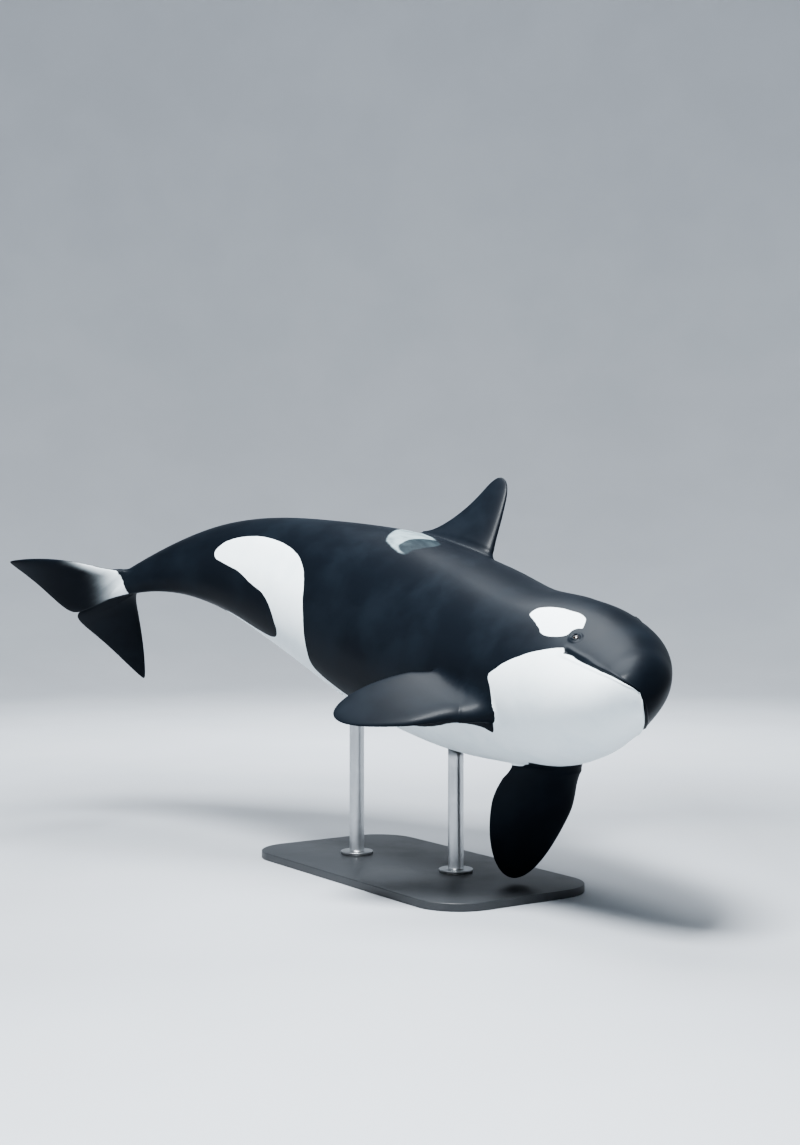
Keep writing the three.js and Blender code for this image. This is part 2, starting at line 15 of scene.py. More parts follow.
import bpy
import numpy as np
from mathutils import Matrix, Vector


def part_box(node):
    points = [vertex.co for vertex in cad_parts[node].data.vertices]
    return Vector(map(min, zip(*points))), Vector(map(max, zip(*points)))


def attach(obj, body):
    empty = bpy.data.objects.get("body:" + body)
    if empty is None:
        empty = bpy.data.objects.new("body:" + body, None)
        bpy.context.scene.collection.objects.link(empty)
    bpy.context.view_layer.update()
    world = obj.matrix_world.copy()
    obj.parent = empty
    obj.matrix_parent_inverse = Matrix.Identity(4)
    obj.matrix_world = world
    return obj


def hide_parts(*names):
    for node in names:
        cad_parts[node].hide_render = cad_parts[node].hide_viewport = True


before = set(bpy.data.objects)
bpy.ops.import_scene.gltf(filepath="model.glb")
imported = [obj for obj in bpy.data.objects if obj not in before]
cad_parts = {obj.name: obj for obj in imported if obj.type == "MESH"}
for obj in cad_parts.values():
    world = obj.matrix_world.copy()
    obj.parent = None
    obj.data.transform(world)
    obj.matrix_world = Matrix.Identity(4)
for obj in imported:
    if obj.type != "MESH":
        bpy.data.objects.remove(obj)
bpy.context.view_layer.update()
print("the frame has", len(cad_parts), "nodes")

# %% [markdown]
# ## Proportions of the body
#
# A body like this can be sculpted, or lofted through a few measured sections. A loft through
# sections gives the same outline as the solids, so it is used here: at each station the table
# holds the height of the back, the depth of the belly and the half width.

# %% Stations of the body
LENGTH = 5.6
STATIONS = np.array([
    # back from the snout, back, belly, half width
    [0.000, 0.000, 0.000, 0.000],
    [0.027, 0.133, 0.053, 0.099],
    [0.095, 0.240, 0.107, 0.153],
    [0.224, 0.335, 0.184, 0.205],
    [0.504, 0.499, 0.279, 0.302],
    [0.896, 0.592, 0.394, 0.435],
    [1.400, 0.588, 0.492, 0.526],
    [2.016, 0.645, 0.583, 0.549],
    [2.744, 0.645, 0.594, 0.504],
    [3.584, 0.491, 0.471, 0.352],
    [4.337, 0.341, 0.308, 0.206],
    [5.054, 0.115, 0.136, 0.090],
    [5.600, 0.016, 0.016, 0.030],
])
SECTION_POWER = 0.95
MIDLINE_LIFT = 0.094


def smooth_through(knots, values):
    """A cubic through every value. The slope at a knot is the mean of the two chords beside it,
    each weighed by the other's width. The end slopes are 1.5 chords less half their neighbour."""
    knots, values = np.asarray(knots, float), np.asarray(values, float)
    width = np.diff(knots)
    chord = np.diff(values) / width
    slope = np.zeros(len(knots))
    slope[1:-1] = (chord[:-1] * width[1:] + chord[1:] * width[:-1]) / (width[1:] + width[:-1])
    slope[0] = 1.5 * chord[0] - 0.5 * slope[1]
    slope[-1] = 1.5 * chord[-1] - 0.5 * slope[-2]

    def curve(at):
        at = np.clip(at, knots[0], knots[-1])
        i = np.clip(np.searchsorted(knots, at, side="right") - 1, 0, len(width) - 1)
        t = (at - knots[i]) / width[i]
        start = (2 * t**3 - 3 * t**2 + 1) * values[i] + (t**3 - 2 * t**2 + t) * width[i] * slope[i]
        end = (3 * t**2 - 2 * t**3) * values[i + 1] + (t**3 - t**2) * width[i] * slope[i + 1]
        return start + end

    return curve


def root_of(x):
    """The square root of the share of the length: it spreads the stations and rounds the snout."""
    return np.sqrt(np.clip(x / LENGTH, 0, 1))


back_curve = smooth_through(root_of(STATIONS[:, 0]), STATIONS[:, 1])
belly_curve = smooth_through(root_of(STATIONS[:, 0]), STATIONS[:, 2])
half_curve = smooth_through(root_of(STATIONS[:, 0]), STATIONS[:, 3])


def section(x):
    """Back height, belly depth, half width and height of the widest line at each x."""
    back, belly, half = back_curve(root_of(x)), belly_curve(root_of(x)), half_curve(root_of(x))
    return back, belly, half, (back - belly) / 2 * MIDLINE_LIFT


print("the body is", LENGTH, "m long and", 2 * round(float(STATIONS[:, 3].max()), 3), "m wide")

# %% [markdown]
# ## The skin as a function of two parameters
#
# Every point of the skin is named by its distance back from the snout and an angle round the
# section: 0 on the left side, a quarter turn on the back, minus a quarter turn on the belly. A
# section is a superellipse, which is a little fuller than an ellipse.


# %% The plain skin
def rotate_power(value, power):
    """A power that keeps the sign."""
    return np.sign(value) * np.abs(value) ** power


def plain_skin(x, angle):
    """y is the half width times the cosine, z the reach up or down times the sine, each raised to
    the section's power."""
    back, belly, half, middle = section(x)
    rise = np.sin(angle)
    reach = np.where(rise > 0, back - middle, belly + middle)
    return np.stack([
        x + 0 * angle,
        half * rotate_power(np.cos(angle), SECTION_POWER),
        middle + reach * rotate_power(rise, SECTION_POWER),
    ], axis=-1)


def unit(vectors):
    """Vectors divided by their lengths."""
    return vectors / np.maximum(np.linalg.norm(vectors, axis=-1, keepdims=True), 1e-12)


def skin_normal(x, angle):
    """The cross product of a short step round the body and a short step along it."""
    step = np.minimum(0.004, x / 4)
    along = plain_skin(x + step, angle) - plain_skin(x - step, angle)
    around = plain_skin(x, angle + 0.01) - plain_skin(x, angle - 0.01)
    return unit(np.cross(around, along))


def angle_at_height(x, height):
    """The sine's inverse of the height's share of the reach, for the left side."""
    back, belly, half, middle = section(x)
    above = height > middle
    share_up = (height - middle) / (back - middle)
    share_down = (middle - height) / (belly + middle)
    share = np.where(above, share_up, share_down)
    lift = np.arcsin(np.clip(share, 0, 0.98) ** (1 / SECTION_POWER))
    return np.where(above, lift, -lift)


def smooth_step(value, low, high):
    """0 below low, 1 above high, and 3t² - 2t³ between them."""
    t = np.clip((value - low) / (high - low), 0, 1)
    return t * t * (3 - 2 * t)


def bump(value, width):
    """A soft bump: e to the minus square of the value over the width."""
    return np.exp(-((value / width) ** 2))


# %% [markdown]
# ## Lips, lids and blowhole
#
# Small forms could be sculpted or made with bump alone. Lips and lids catch the light on their
# edges, so they are real relief here: heights added along the skin's normal. The mouth is a groove
# between two soft lips, the blowhole a crescent groove with a swollen rim, and the lids a rim that
# rides on the eyeball, with a fold above and below.

# %% Mouth and lips
MOUTH_LENGTH = 0.549
MOUTH_RISE = 0.080
MOUTH_CURVE = 1.75
MOUTH_DIP = 0.031
MOUTH_ROUND = 0.020
LIP_OFFSET = 0.015


def mouth_height(x):
    """The mouth line dips under the snout by a falling power of e, and rises to the corner with
    a power of the distance."""
    inside = np.clip(x, 0, MOUTH_LENGTH)
    dip = MOUTH_DIP * (1 - np.exp(-inside / MOUTH_ROUND))
    return MOUTH_RISE * (inside / MOUTH_LENGTH) ** MOUTH_CURVE - dip


def mouth_angle(x):
    """The angle of the mouth line."""
    return angle_at_height(x, mouth_height(x))


def gauge(x):
    """Metres of skin per radian near the mouth line."""
    return np.maximum(section(x)[2], 0.08)


def lip_relief(x, distance):
    """A groove on the mouth line and a lip on each side of it, fading out behind the corner."""
    groove = -0.010 * bump(distance, 0.006)
    lips = 0.005 * bump(np.abs(distance) - LIP_OFFSET, 0.008)
    corner = 0.006 * bump(x - 0.565, 0.018) * bump(distance, 0.02)
    return (groove + lips) * (1 - smooth_step(x, 0.525, 0.572)) + corner


# %% Blowhole
BLOWHOLE_AT = 0.700
BLOWHOLE_HALF_WIDTH = 0.062
BLOWHOLE_SAG = 0.026


def blowhole_relief(x, angle):
    """Along a crescent whose ends point forwards: a deep narrow groove inside a raised rim."""
    across = (angle - math.pi / 2) * back_curve(root_of(x))
    share = across / BLOWHOLE_HALF_WIDTH
    ahead = x - (BLOWHOLE_AT + BLOWHOLE_SAG * (1 - share**2))
    inside = 1 - smooth_step(np.abs(share), 0.75, 1.05)
    rim = 1 - smooth_step(np.abs(share), 1.0, 1.5)
    groove = -0.014 * bump(ahead, 0.006) * inside
    swelling = 0.007 * bump(np.abs(ahead) - 0.013, 0.011) * rim
    dish = -0.006 * bump(ahead + 0.05, 0.03) * rim
    return groove + swelling + dish


# %% Eye sockets
EYE_AT = 0.569
EYE_HEIGHT = 0.157
EYE_RADIUS = 0.032
EYE_BULGE = 0.012
SOCKET_DEPTH = 0.007
SOCKET_FULL, SOCKET_GONE = 0.034, 0.052

eye_angle = float(angle_at_height(EYE_AT, EYE_HEIGHT))
eye_place = plain_skin(np.float64(EYE_AT), np.float64(eye_angle))
eye_out = skin_normal(np.float64(EYE_AT), np.float64(eye_angle))
eye_centre = eye_place + eye_out * (EYE_BULGE - EYE_RADIUS)


def socket_relief(points):
    """A shallow dish round the eye, which the lids cover: full depth inside 34 mm of the eye's
    middle, and gone at 52 mm."""
    distance = np.linalg.norm(points - eye_place, axis=-1)
    return -SOCKET_DEPTH * (1 - smooth_step(distance, SOCKET_FULL, SOCKET_GONE))


print("the eye is", round(float(eye_place[2]), 3), "m over the axis")

# %% [markdown]
# ## Soft forms of the body
#
# A real orca is smooth, but not a balloon. There is a slight hollow behind the skull, a crease
# behind the flipper, a shallow furrow down each flank, and a keel over and under the tail stock.


# %% Low, wide relief
def soft_relief(x, angle):
    """A sum of wide bumps along the length times bumps round the section."""
    side = np.abs((angle + math.pi) % (2 * math.pi) - math.pi)
    from_left = np.where(side > math.pi / 2, math.pi - side, side) * np.sign(np.sin(angle))
    nape = -0.010 * bump(x - 0.93, 0.10) * smooth_step(from_left, 0.9, 1.5)
    melon = 0.006 * bump(x - 0.30, 0.16) * smooth_step(from_left, 0.5, 1.3)
    cheek = 0.007 * bump(x - 0.66, 0.13) * bump(from_left - 0.02, 0.30)
    throat = -0.005 * bump(x - 0.78, 0.05) * bump(from_left + 0.75, 0.45)
    furrow = -0.007 * smooth_step(x, 2.6, 3.4) * (1 - smooth_step(x, 4.3, 4.9))
    furrow = furrow * bump(from_left, 0.22)
    keel = bump(np.abs(from_left) - math.pi / 2, 0.22) * smooth_step(x, 4.5, 5.0)
    return nape + melon + cheek + throat + furrow + 0.006 * keel * (1 - smooth_step(x, 5.25, 5.5))


# %% [markdown]
# ## The grid of the body
#
# One grid covers the whole body: rings along it and lines round it. Rings lie close together at
# the eye and the blowhole. Lines gather along the mouth, the eye and the top of the head, and
# spread out evenly behind the neck.

# %% Rings and lines
LAST_RING = 5.597
RING_STEPS = [
    # from, to, spacing
    (0.050, 0.492, 0.0088),
    (0.492, 0.620, 0.0060),
    (0.620, 0.660, 0.0080),
    (0.660, 0.750, 0.0045),
    (0.750, 0.960, 0.0110),
    (0.960, 5.040, 0.0270),
    (5.040, 5.590, 0.0180),
]
snout_rings = 0.050 * (np.arange(1, 14) / 14) ** 2
ring_places = np.concatenate(
    [snout_rings] + [np.arange(start, end, step) for start, end, step in RING_STEPS] + [[LAST_RING]]
)
LINE_BANDS = {"keel": 31, "mouth": 12, "eye": 30, "crown": 17, "top": 17}


def line_angles(x):
    """Angles of the lines on the left side, from belly to back, for each ring: bands of even
    spacing round the mouth line, the eye and the midline of the back, with wider lines between.
    Behind the neck they blend into lines at even angles."""
    guide = mouth_angle(x)[:, None]
    mouth = (0.045 / gauge(x))[:, None]
    eye = mouth + 0.47
    top = (0.085 / np.maximum(back_curve(root_of(x)), 0.30))[:, None]
    stops = [
        (-math.pi / 2 + 0 * guide, guide - mouth, LINE_BANDS["keel"]),
        (guide - mouth, guide, LINE_BANDS["mouth"]),
        (guide, guide + mouth, LINE_BANDS["mouth"]),
        (guide + mouth, guide + eye, LINE_BANDS["eye"]),
        (guide + eye, math.pi / 2 - top, LINE_BANDS["crown"]),
        (math.pi / 2 - top, math.pi / 2 + 0 * guide, LINE_BANDS["top"]),
    ]
    parts = [low + (high - low) * np.arange(count) / count for low, high, count in stops]
    gathered = np.concatenate(parts + [math.pi / 2 + 0 * guide], axis=1)
    even = np.linspace(-math.pi / 2, math.pi / 2, gathered.shape[1])[None, :]
    spread = smooth_step(x, 0.76, 1.5)[:, None]
    return gathered * (1 - spread) + even * spread


left_angles = line_angles(ring_places)
left_x = np.repeat(ring_places[:, None], left_angles.shape[1], axis=1)
left_plain = plain_skin(left_x, left_angles)
print("the body grid has", left_x.shape[0], "rings of", 2 * left_x.shape[1] - 2, "points")


# %% Raise the relief and mirror the side
def relief_at(x, angle):
    """All the relief of the left side but the eye's: lips, blowhole and soft forms added up."""
    lips = lip_relief(x, (angle - mouth_angle(x)) * gauge(x))
    return lips + blowhole_relief(x, angle) + soft_relief(x, angle)


relief = relief_at(left_x, left_angles) + socket_relief(left_plain)
left_side = left_plain + skin_normal(left_x, left_angles) * relief[..., None]
left_side[:, [0, -1], 1] = 0
right_side = left_side[:, -2:0:-1] * np.array([1, -1, 1])
body_grid = np.concatenate([left_side, right_side], axis=1)


def tube_faces(rings, count, first, last):
    """Quads between neighbouring rings, and a fan of triangles to a point at each end."""
    ring, line = np.meshgrid(np.arange(rings - 1), np.arange(count), indexing="ij")
    following = (line + 1) % count
    corners = [ring * count + line, (ring + 1) * count + line,
               (ring + 1) * count + following, ring * count + following]
    quads = np.stack(corners, axis=-1).reshape(-1, 4)
    line = np.arange(count)
    following = (line + 1) % count
    end = (rings - 1) * count
    start_fan = np.stack([np.full(count, first), line, following], axis=-1)
    end_fan = np.stack([np.full(count, last), end + following, end + line], axis=-1)
    return quads, np.concatenate([start_fan, end_fan])


def mesh_from(name, points, quads, triangles=None):
    """A mesh from arrays of points and faces, written straight into Blender's own arrays. It is
    turned the right way out by the sign of its volume."""
    triangles = np.zeros((0, 3), int) if triangles is None else triangles
    fans = np.concatenate([triangles, quads[:, [0, 1, 2]], quads[:, [0, 2, 3]]])
    a, b, c = (points[fans[:, i]] for i in range(3))
    if np.einsum("ij,ij->i", a, np.cross(b, c)).sum() < 0:
        quads, triangles = quads[:, ::-1], triangles[:, ::-1]
    mesh = bpy.data.meshes.new(name)
    mesh.vertices.add(len(points))
    mesh.vertices.foreach_set("co", np.asarray(points, np.float32).ravel())
    loops = np.concatenate([quads.ravel(), triangles.ravel()])
    sizes = np.concatenate([np.full(len(quads), 4), np.full(len(triangles), 3)])
    mesh.loops.add(len(loops))
    mesh.loops.foreach_set("vertex_index", loops.astype(np.int32))
    mesh.polygons.add(len(sizes))
    mesh.polygons.foreach_set("loop_start", (np.cumsum(sizes) - sizes).astype(np.int32))
    mesh.polygons.foreach_set("use_smooth", np.ones(len(sizes), bool))
    mesh.update(calc_edges=True)
    mesh.validate()
    return mesh


def add_object(name, mesh):
    """An object at the origin that shows the mesh."""
    piece = bpy.data.objects.new(name, mesh)
    bpy.context.scene.collection.objects.link(piece)
    return piece


body_count = body_grid.shape[1]
body_points = np.concatenate([
    body_grid.reshape(-1, 3), [[0.007, 0, 0]], body_grid[-1].mean(axis=0)[None, :],
])
body_quads, body_fans = tube_faces(
    len(ring_places), body_count, len(body_points) - 2, len(body_points) - 1
)
skin = add_object("skin", mesh_from("skin", body_points, body_quads, body_fans))
print("the body mesh has", len(body_quads) * 2, "triangles")

# %% [markdown]
# ## Fins
#
# A fin is a wing: a leading edge, a trailing edge and a rounded section between them, carried from
# its root inside the body to its tip. Its edges flare where they meet the skin, as they do on the
# animal. The same two edge functions shape the solids.

# %% One fin from its edges
FOIL_STEPS = 22
FIN_ROWS = 46
SUNK_ROWS = 8


def foil(share):
    """Half thickness over the chord: the root of the share, times the rest to the power 0.75."""
    return 2.32 * np.sqrt(share) * (1 - share) ** 0.75


def lerp(low, high, share):
    """The value at a share of the way from low to high."""
    return low + (high - low) * share


def close_tip(lead, trail, share, power):
    """The chord shrinks to a point at the tip by the root of 1 less the share to a power."""
    middle = (lead + trail) / 2
    keep = np.sqrt(np.clip(1 - share**power, 0, 1))
    return middle + (lead - middle) * keep, middle + (trail - middle) * keep


def fin_points(edges, half, sunk, inside, lead_flare, trail_flare, swell, reach, below=1e-6):
    """Rows at shares of the length that gather at the skin and at the tip. Each row runs from the
    leading edge over one face to the trailing edge and back over the other. The flare dies away
    outwards by an exponential of the share past the skin. Below the skin it goes on growing, and
    levels off as a hyperbolic tangent does."""
    rows = inside + (1 - inside) * (1 - np.cos(np.pi * np.arange(FIN_ROWS) / FIN_ROWS)) / 2
    under = lerp(sunk, inside, np.arange(SUNK_ROWS) / SUNK_ROWS)
    share = np.concatenate([under, rows])[:, None]
    lead, trail, across = edges(share)
    past = share - inside
    flare = np.exp(-np.where(past > 0, past, below * np.tanh(past / below)) / reach)
    chord = unit(trail - lead)
    lead = lead - chord * lead_flare * flare
    trail = trail + chord * trail_flare * flare
    closed = np.sqrt(np.clip(1 - share**8, 0, 1))
    thick = half * (1 - 0.72 * share) * closed + swell * np.sqrt(flare)
    turn = (1 - np.cos(np.pi * np.arange(FOIL_STEPS + 1) / FOIL_STEPS)) / 2
    middle = lead[:, None] + (trail - lead)[:, None] * turn[None, :, None]
    push = across[:, None] * (thick * foil(turn[None, :]))[..., None]
    loops = np.concatenate([middle + push, (middle - push)[:, -2:0:-1]], axis=1)
    tip_lead, tip_trail, _ = edges(np.array([[1.0]]))
    ends = [loops[0].mean(axis=0)[None, :], (tip_lead + tip_trail) / 2]
    return np.concatenate([loops.reshape(-1, 3)] + ends), loops.shape[:2]


def make_fin(name, edges, **root):
    """An object for one fin, closed at both ends."""
    points, (rows, count) = fin_points(edges, **root)
    quads, fans = tube_faces(rows, count, len(points) - 2, len(points) - 1)
    return add_object(name, mesh_from(name, points, quads, fans))


# %% Edges of the dorsal fin
DORSAL = {
    "front": 2.295, "back": 2.927, "tip": 2.563, "tip_half": 0.077, "height": 0.546, "sunk": 0.045,
}


def dorsal_edges(share):
    """Both edges climb from the back. The leading edge leans back by a power of the share, and the
    trailing edge starts flat and curves up into the tip by a power of what is left."""
    foot = back_curve(root_of((DORSAL["front"] + DORSAL["back"]) / 2)) - DORSAL["sunk"]
    z = foot + share * (DORSAL["height"] + DORSAL["sunk"])
    front = lerp(DORSAL["front"], DORSAL["tip"] - DORSAL["tip_half"], share**1.14)
    rear = lerp(DORSAL["back"], DORSAL["tip"] + DORSAL["tip_half"], 1 - (1 - share) ** 1.93)
    lead = np.concatenate([front, 0 * z, z], 1)
    trail = np.concatenate([rear, 0 * z, z], 1)
    lead, trail = close_tip(lead, trail, share, 12)
    return lead, trail, np.broadcast_to([0.0, 1.0, 0.0], lead.shape)


# %% Edges of the flukes
FLUKE = {
    "front": 5.175, "notch": 5.602, "tip": 5.640, "span": 0.857, "bulge": 0.082, "pivot": 5.208,
}
FLUKE_LIFT, FLUKE_DROOP, FLUKE_TILT = np.radians([10.0, -17.4, 5.3])


def fluke_middle(x, y):
    """Height of a fluke's middle plane: it rises with the span, droops to the tip and tilts."""
    share = np.clip(np.abs(y) / FLUKE["span"], 0, 1)
    rise = FLUKE_LIFT + FLUKE_DROOP * share
    return share * FLUKE["span"] * np.sin(rise) - (x - FLUKE["pivot"]) * np.sin(FLUKE_TILT)


def fluke_chord(share):
    """Where the chord starts and ends. The leading edge sweeps back in a curve, and the trailing
    edge bulges behind the line from notch to tip, most near the notch."""
    share = np.maximum(share, 0)
    front = lerp(FLUKE["front"], FLUKE["tip"] - 0.045, share**1.153)
    rear = lerp(FLUKE["notch"], FLUKE["tip"] + 0.022, share)
    return front, rear + FLUKE["bulge"] * np.sin(np.pi * share**0.387)


def fluke_edges(side):
    """The two ends of each chord, lifted into the fluke's curved middle plane."""

    def edges(share):
        y = side * share * FLUKE["span"]
        front, rear = fluke_chord(share)
        lead = np.concatenate([front, y, fluke_middle(front, y)], 1)
        trail = np.concatenate([rear, y, fluke_middle(rear, y)], 1)
        lead, trail = close_tip(lead, trail, share, 10)
        return lead, trail, np.broadcast_to([0.0, 0.0, 1.0], lead.shape)

    return edges


# %% Edges of the flippers
FLIPPER = {
    "at": 1.213, "side": 0.323, "below": 0.280, "length": 0.870, "width": 0.551, "sweep": -0.016,
}
FLIPPER_RIGHT = {"side": -1, "sweep": 32.6, "droop": 36.5, "twist": 31.3, "bend": -0.082}
FLIPPER_LEFT = {"side": 1, "sweep": 26.0, "droop": 59.0, "twist": 79.9, "bend": 0.170}


def flipper_edges(side, sweep, droop, twist, bend):
    """A paddle carried outwards from the chest. Its middle line bends over the flat face and
    sweeps back, and its width swells and then rounds off to the tip."""
    turn = np.radians([sweep, droop, twist])
    (cs, cd, ct), (ss, sd, st) = np.cos(turn), np.sin(turn)
    out = np.array([ss, side * cs * cd, -cs * sd])
    behind = np.array([cs, -side * ss * cd, ss * sd])
    chord = behind * ct + np.cross(out, behind) * st
    across = np.cross(out, chord)
    root = np.array([FLIPPER["at"], side * FLIPPER["side"], -FLIPPER["below"]])

    def edges(share):
        middle = root + out * share * FLIPPER["length"]
        curl = across * share**2 * FLIPPER["length"] * bend
        middle = middle + curl + chord * share**2 * FLIPPER["sweep"]
        paddle = lerp(0.762, 1, smooth_step(share, 0, 0.466)) * (1 + 2.5 * np.minimum(share, 0))
        rounded = np.sqrt(1 - np.clip((share - 0.263) / 0.737, 0, 1) ** 1.943)
        half = FLIPPER["width"] / 2 * paddle * rounded
        return middle - chord * half, middle + chord * half, np.broadcast_to(across, middle.shape)

    return edges


# %% Make the five fins
fins = [
    make_fin("fin_back", dorsal_edges, half=0.048, sunk=0.0, inside=0.075,
             lead_flare=0.072, trail_flare=0.045, swell=0.024, reach=0.055, below=0.035),
]
for side in (1, -1):
    fins.append(make_fin("fin_tail", fluke_edges(side), half=0.044, sunk=-0.004, inside=0.11,
                         lead_flare=0.110, trail_flare=0.0, swell=0.014, reach=0.055))
for limb, lead_flare, trail_flare in ((FLIPPER_RIGHT, 0.046, 0.025), (FLIPPER_LEFT, 0.020, 0.0)):
    fins.append(make_fin("fin_chest", flipper_edges(**limb), half=0.048, sunk=-0.2, inside=0.08,
                         lead_flare=lead_flare, trail_flare=trail_flare, swell=0.018, reach=0.085,
                         below=0.055))
print("made", len(fins), "fins")

# %% [markdown]
# ## Grow the fins out of the body
#
# Fins that only pass through the skin leave a hard seam. A Boolean union makes one closed surface,
# and then the points near each seam are averaged with their neighbours a number of times, which
# rounds the corner into a fillet. Averaging is done on whole arrays: the ends of every edge are
# added into their neighbours' sums in one step.


# %% Join body and fins
def apply_modifiers(piece):
    """Replaces the mesh by what its modifiers make of it."""
    graph = bpy.context.evaluated_depsgraph_get()
    finished = bpy.data.meshes.new_from_object(piece.evaluated_get(graph))
    piece.modifiers.clear()
    piece.data = finished


fin_group = bpy.data.collections.new("fins")
for fin in fins:
    fin_group.objects.link(fin)
union = skin.modifiers.new("join fins", "BOOLEAN")
union.operation = "UNION"
union.operand_type = "COLLECTION"
union.collection = fin_group
union.solver = "EXACT"
apply_modifiers(skin)
for fin in fins:
    bpy.data.objects.remove(fin)
bpy.data.collections.remove(fin_group)
print("the joined skin has", len(skin.data.vertices), "points")


# %% Read the joined mesh
def read_points(mesh):
    """All vertex places as one array."""
    flat = np.empty(len(mesh.vertices) * 3, np.float32)
    mesh.vertices.foreach_get("co", flat)
    return flat.reshape(-1, 3).astype(float)


def read_edges(mesh):
    """The two vertex numbers of every edge."""
    flat = np.empty(len(mesh.edges) * 2, np.int32)
    mesh.edges.foreach_get("vertices", flat)
    return flat.reshape(-1, 2)


def body_angle(points):
    """The section angle of any point: the skin's formula turned round. It holds off the skin too,
    because it depends only on the ratio of the shares across and up."""
    back, belly, half, middle = section(points[:, 0])
    rise = points[:, 2] - middle
    reach = np.where(rise > 0, back - middle, belly + middle)
    across = rotate_power(points[:, 1] / half, 1 / SECTION_POWER)
    return np.arctan2(rotate_power(rise / reach, 1 / SECTION_POWER), across)


def height_over_skin(points):
    """How far a point stands off the plain skin, along the line to the middle of its section."""
    x = np.clip(points[:, 0], 0.002, LAST_RING)
    foot = plain_skin(x, body_angle(np.concatenate([x[:, None], points[:, 1:]], axis=1)))
    axis = np.stack([x, 0 * x, section(x)[3]], axis=-1)
    flat = (points - axis) * [0, 1, 1]
    return np.linalg.norm(flat, axis=1) - np.linalg.norm((foot - axis) * [0, 1, 1], axis=1)


def neighbour_mean(values, edges, count):
    """The mean of each point's neighbours, summed over all edges at once."""
    ends = np.concatenate([edges[:, 0], edges[:, 1]])
    others = np.concatenate([edges[:, 1], edges[:, 0]])
    degree = np.bincount(ends, minlength=count)
    columns = [
        np.bincount(ends, values[others, k], minlength=count) for k in range(values.shape[1])
    ]
    return np.stack(columns, axis=-1) / np.maximum(degree, 1)[:, None]


straight = read_points(skin.data)
edges = read_edges(skin.data)
stand_off = height_over_skin(straight)

# %% Round the seams
FILLET_SPREAD = 9
FILLET_ROUNDS = 22
FILLET_PULL = 0.6
TAIL_KEPT = (5.25, 5.42)
on_fin = (stand_off > 0.012) & (straight[:, 0] > 1.0)
crossing = edges[on_fin[edges[:, 0]] != on_fin[edges[:, 1]]]
seam = np.zeros((len(straight), 1))
seam[crossing.ravel()] = 1
fillet = seam.copy()
for _ in range(FILLET_SPREAD):
    fillet = np.maximum(fillet * 0.999, neighbour_mean(fillet, edges, len(straight)) * 1.35)
off_tail = 1 - smooth_step(straight[:, :1], *TAIL_KEPT)
fillet = smooth_step(np.clip(fillet, 0, 1), 0.1, 0.8) * off_tail
for _ in range(FILLET_ROUNDS):
    mean = neighbour_mean(straight, edges, len(straight))
    straight = straight + (mean - straight) * fillet * FILLET_PULL
stand_off = height_over_skin(straight)
print("rounded", int((fillet > 0.05).sum()), "points near the roots of the fins")

# %% [markdown]
# ## Bend the straight body into the pose
#
# A chain of bones with weights would do this in an animation. For one still pose a formula is
# shorter: the spine is the sum of many short steps whose direction follows three smooth curves,
# and each point of the skin keeps its place in the section that it belongs to. The straight body
# counts backwards from the snout, so the pose mirrors it, and the faces are flipped afterwards.

# %% Spine curves
CHEST = 1.960
BENDS = np.array([
    # back from the snout, pitch, yaw, roll
    [0.000, 9.8, -28.4, 24.1],
    [1.120, 2.7, -11.1, 6.2],
    [1.960, 0.0, 0.0, 0.0],
    [3.080, 2.1, 18.8, -1.4],
    [4.200, 15.3, 19.2, 6.1],
    [5.320, 54.1, 26.0, 14.5],
])
NOSE_DOWN = 12.3
BANK = 29.1
CHEST_PLACE = np.array([0.500, 0.110, 1.410])
SPINE_STEPS = 240
pitch_curve, yaw_curve, roll_curve = (
    smooth_through(BENDS[:, 0], np.radians(BENDS[:, k])) for k in (1, 2, 3)
)


def directions(yaw, pitch, roll):
    """Ahead points along yaw and pitch, level is flat and to the left of it, upright is their
    cross product, and the roll turns left and up about ahead."""
    yaw, pitch, roll = np.asarray(yaw, float), np.asarray(pitch, float), np.asarray(roll, float)
    ahead = np.stack([np.cos(yaw) * np.cos(pitch), np.sin(yaw) * np.cos(pitch), np.sin(pitch)], -1)
    level = np.stack([-np.sin(yaw), np.cos(yaw), 0 * yaw], -1)
    upright = np.cross(ahead, level)
    c, s = np.cos(roll)[..., None], np.sin(roll)[..., None]
    return ahead, level * c - upright * s, upright * c + level * s


def spine_axes(x):
    """The directions of the spine at x."""
    return directions(yaw_curve(x), pitch_curve(x), roll_curve(x))


spine_at = -0.02 * LENGTH + 1.06 * LENGTH * np.arange(SPINE_STEPS + 1) / SPINE_STEPS
ahead_steps = spine_axes(spine_at)[0]
spine_line = np.concatenate([
    np.zeros((1, 3)),
    np.cumsum(-(ahead_steps[:-1] + ahead_steps[1:]) / 2 * np.diff(spine_at)[:, None], axis=0),
])


def spine_place(x):
    """The spine's line read at x."""
    return np.stack([np.interp(x, spine_at, spine_line[:, k]) for k in range(3)], axis=-1)


chest_axes = np.stack(directions(0, math.radians(-NOSE_DOWN), math.radians(BANK)))


def pose(points):
    """The spine's place, plus y along its left and z along its up, turned with the chest."""
    _, left, up = spine_axes(points[:, 0])
    from_chest = spine_place(points[:, 0]) - spine_place(CHEST)
    bent = from_chest + left * points[:, 1:2] + up * points[:, 2:3]
    return bent @ chest_axes + CHEST_PLACE


posed = pose(straight)
skin.data.vertices.foreach_set("co", posed.astype(np.float32).ravel())
skin.data.flip_normals()
skin.data.update()
print("posed skin spans", np.round(posed.max(axis=0) - posed.min(axis=0), 3), "m")

# %% [markdown]
# ## Where the white is
#
# An orca's pattern is made of a few clean shapes, the same on both sides: an oval behind the eye,
# a white chin, a belly band that forks onto the flanks, and a grey saddle. Each outline is a smooth
# closed curve through a few places on the straight body, given as the share of the length and the
# degrees up from the keel. The distance from every skin point to the curve becomes an attribute,
# and the material turns that distance into a crisp edge.


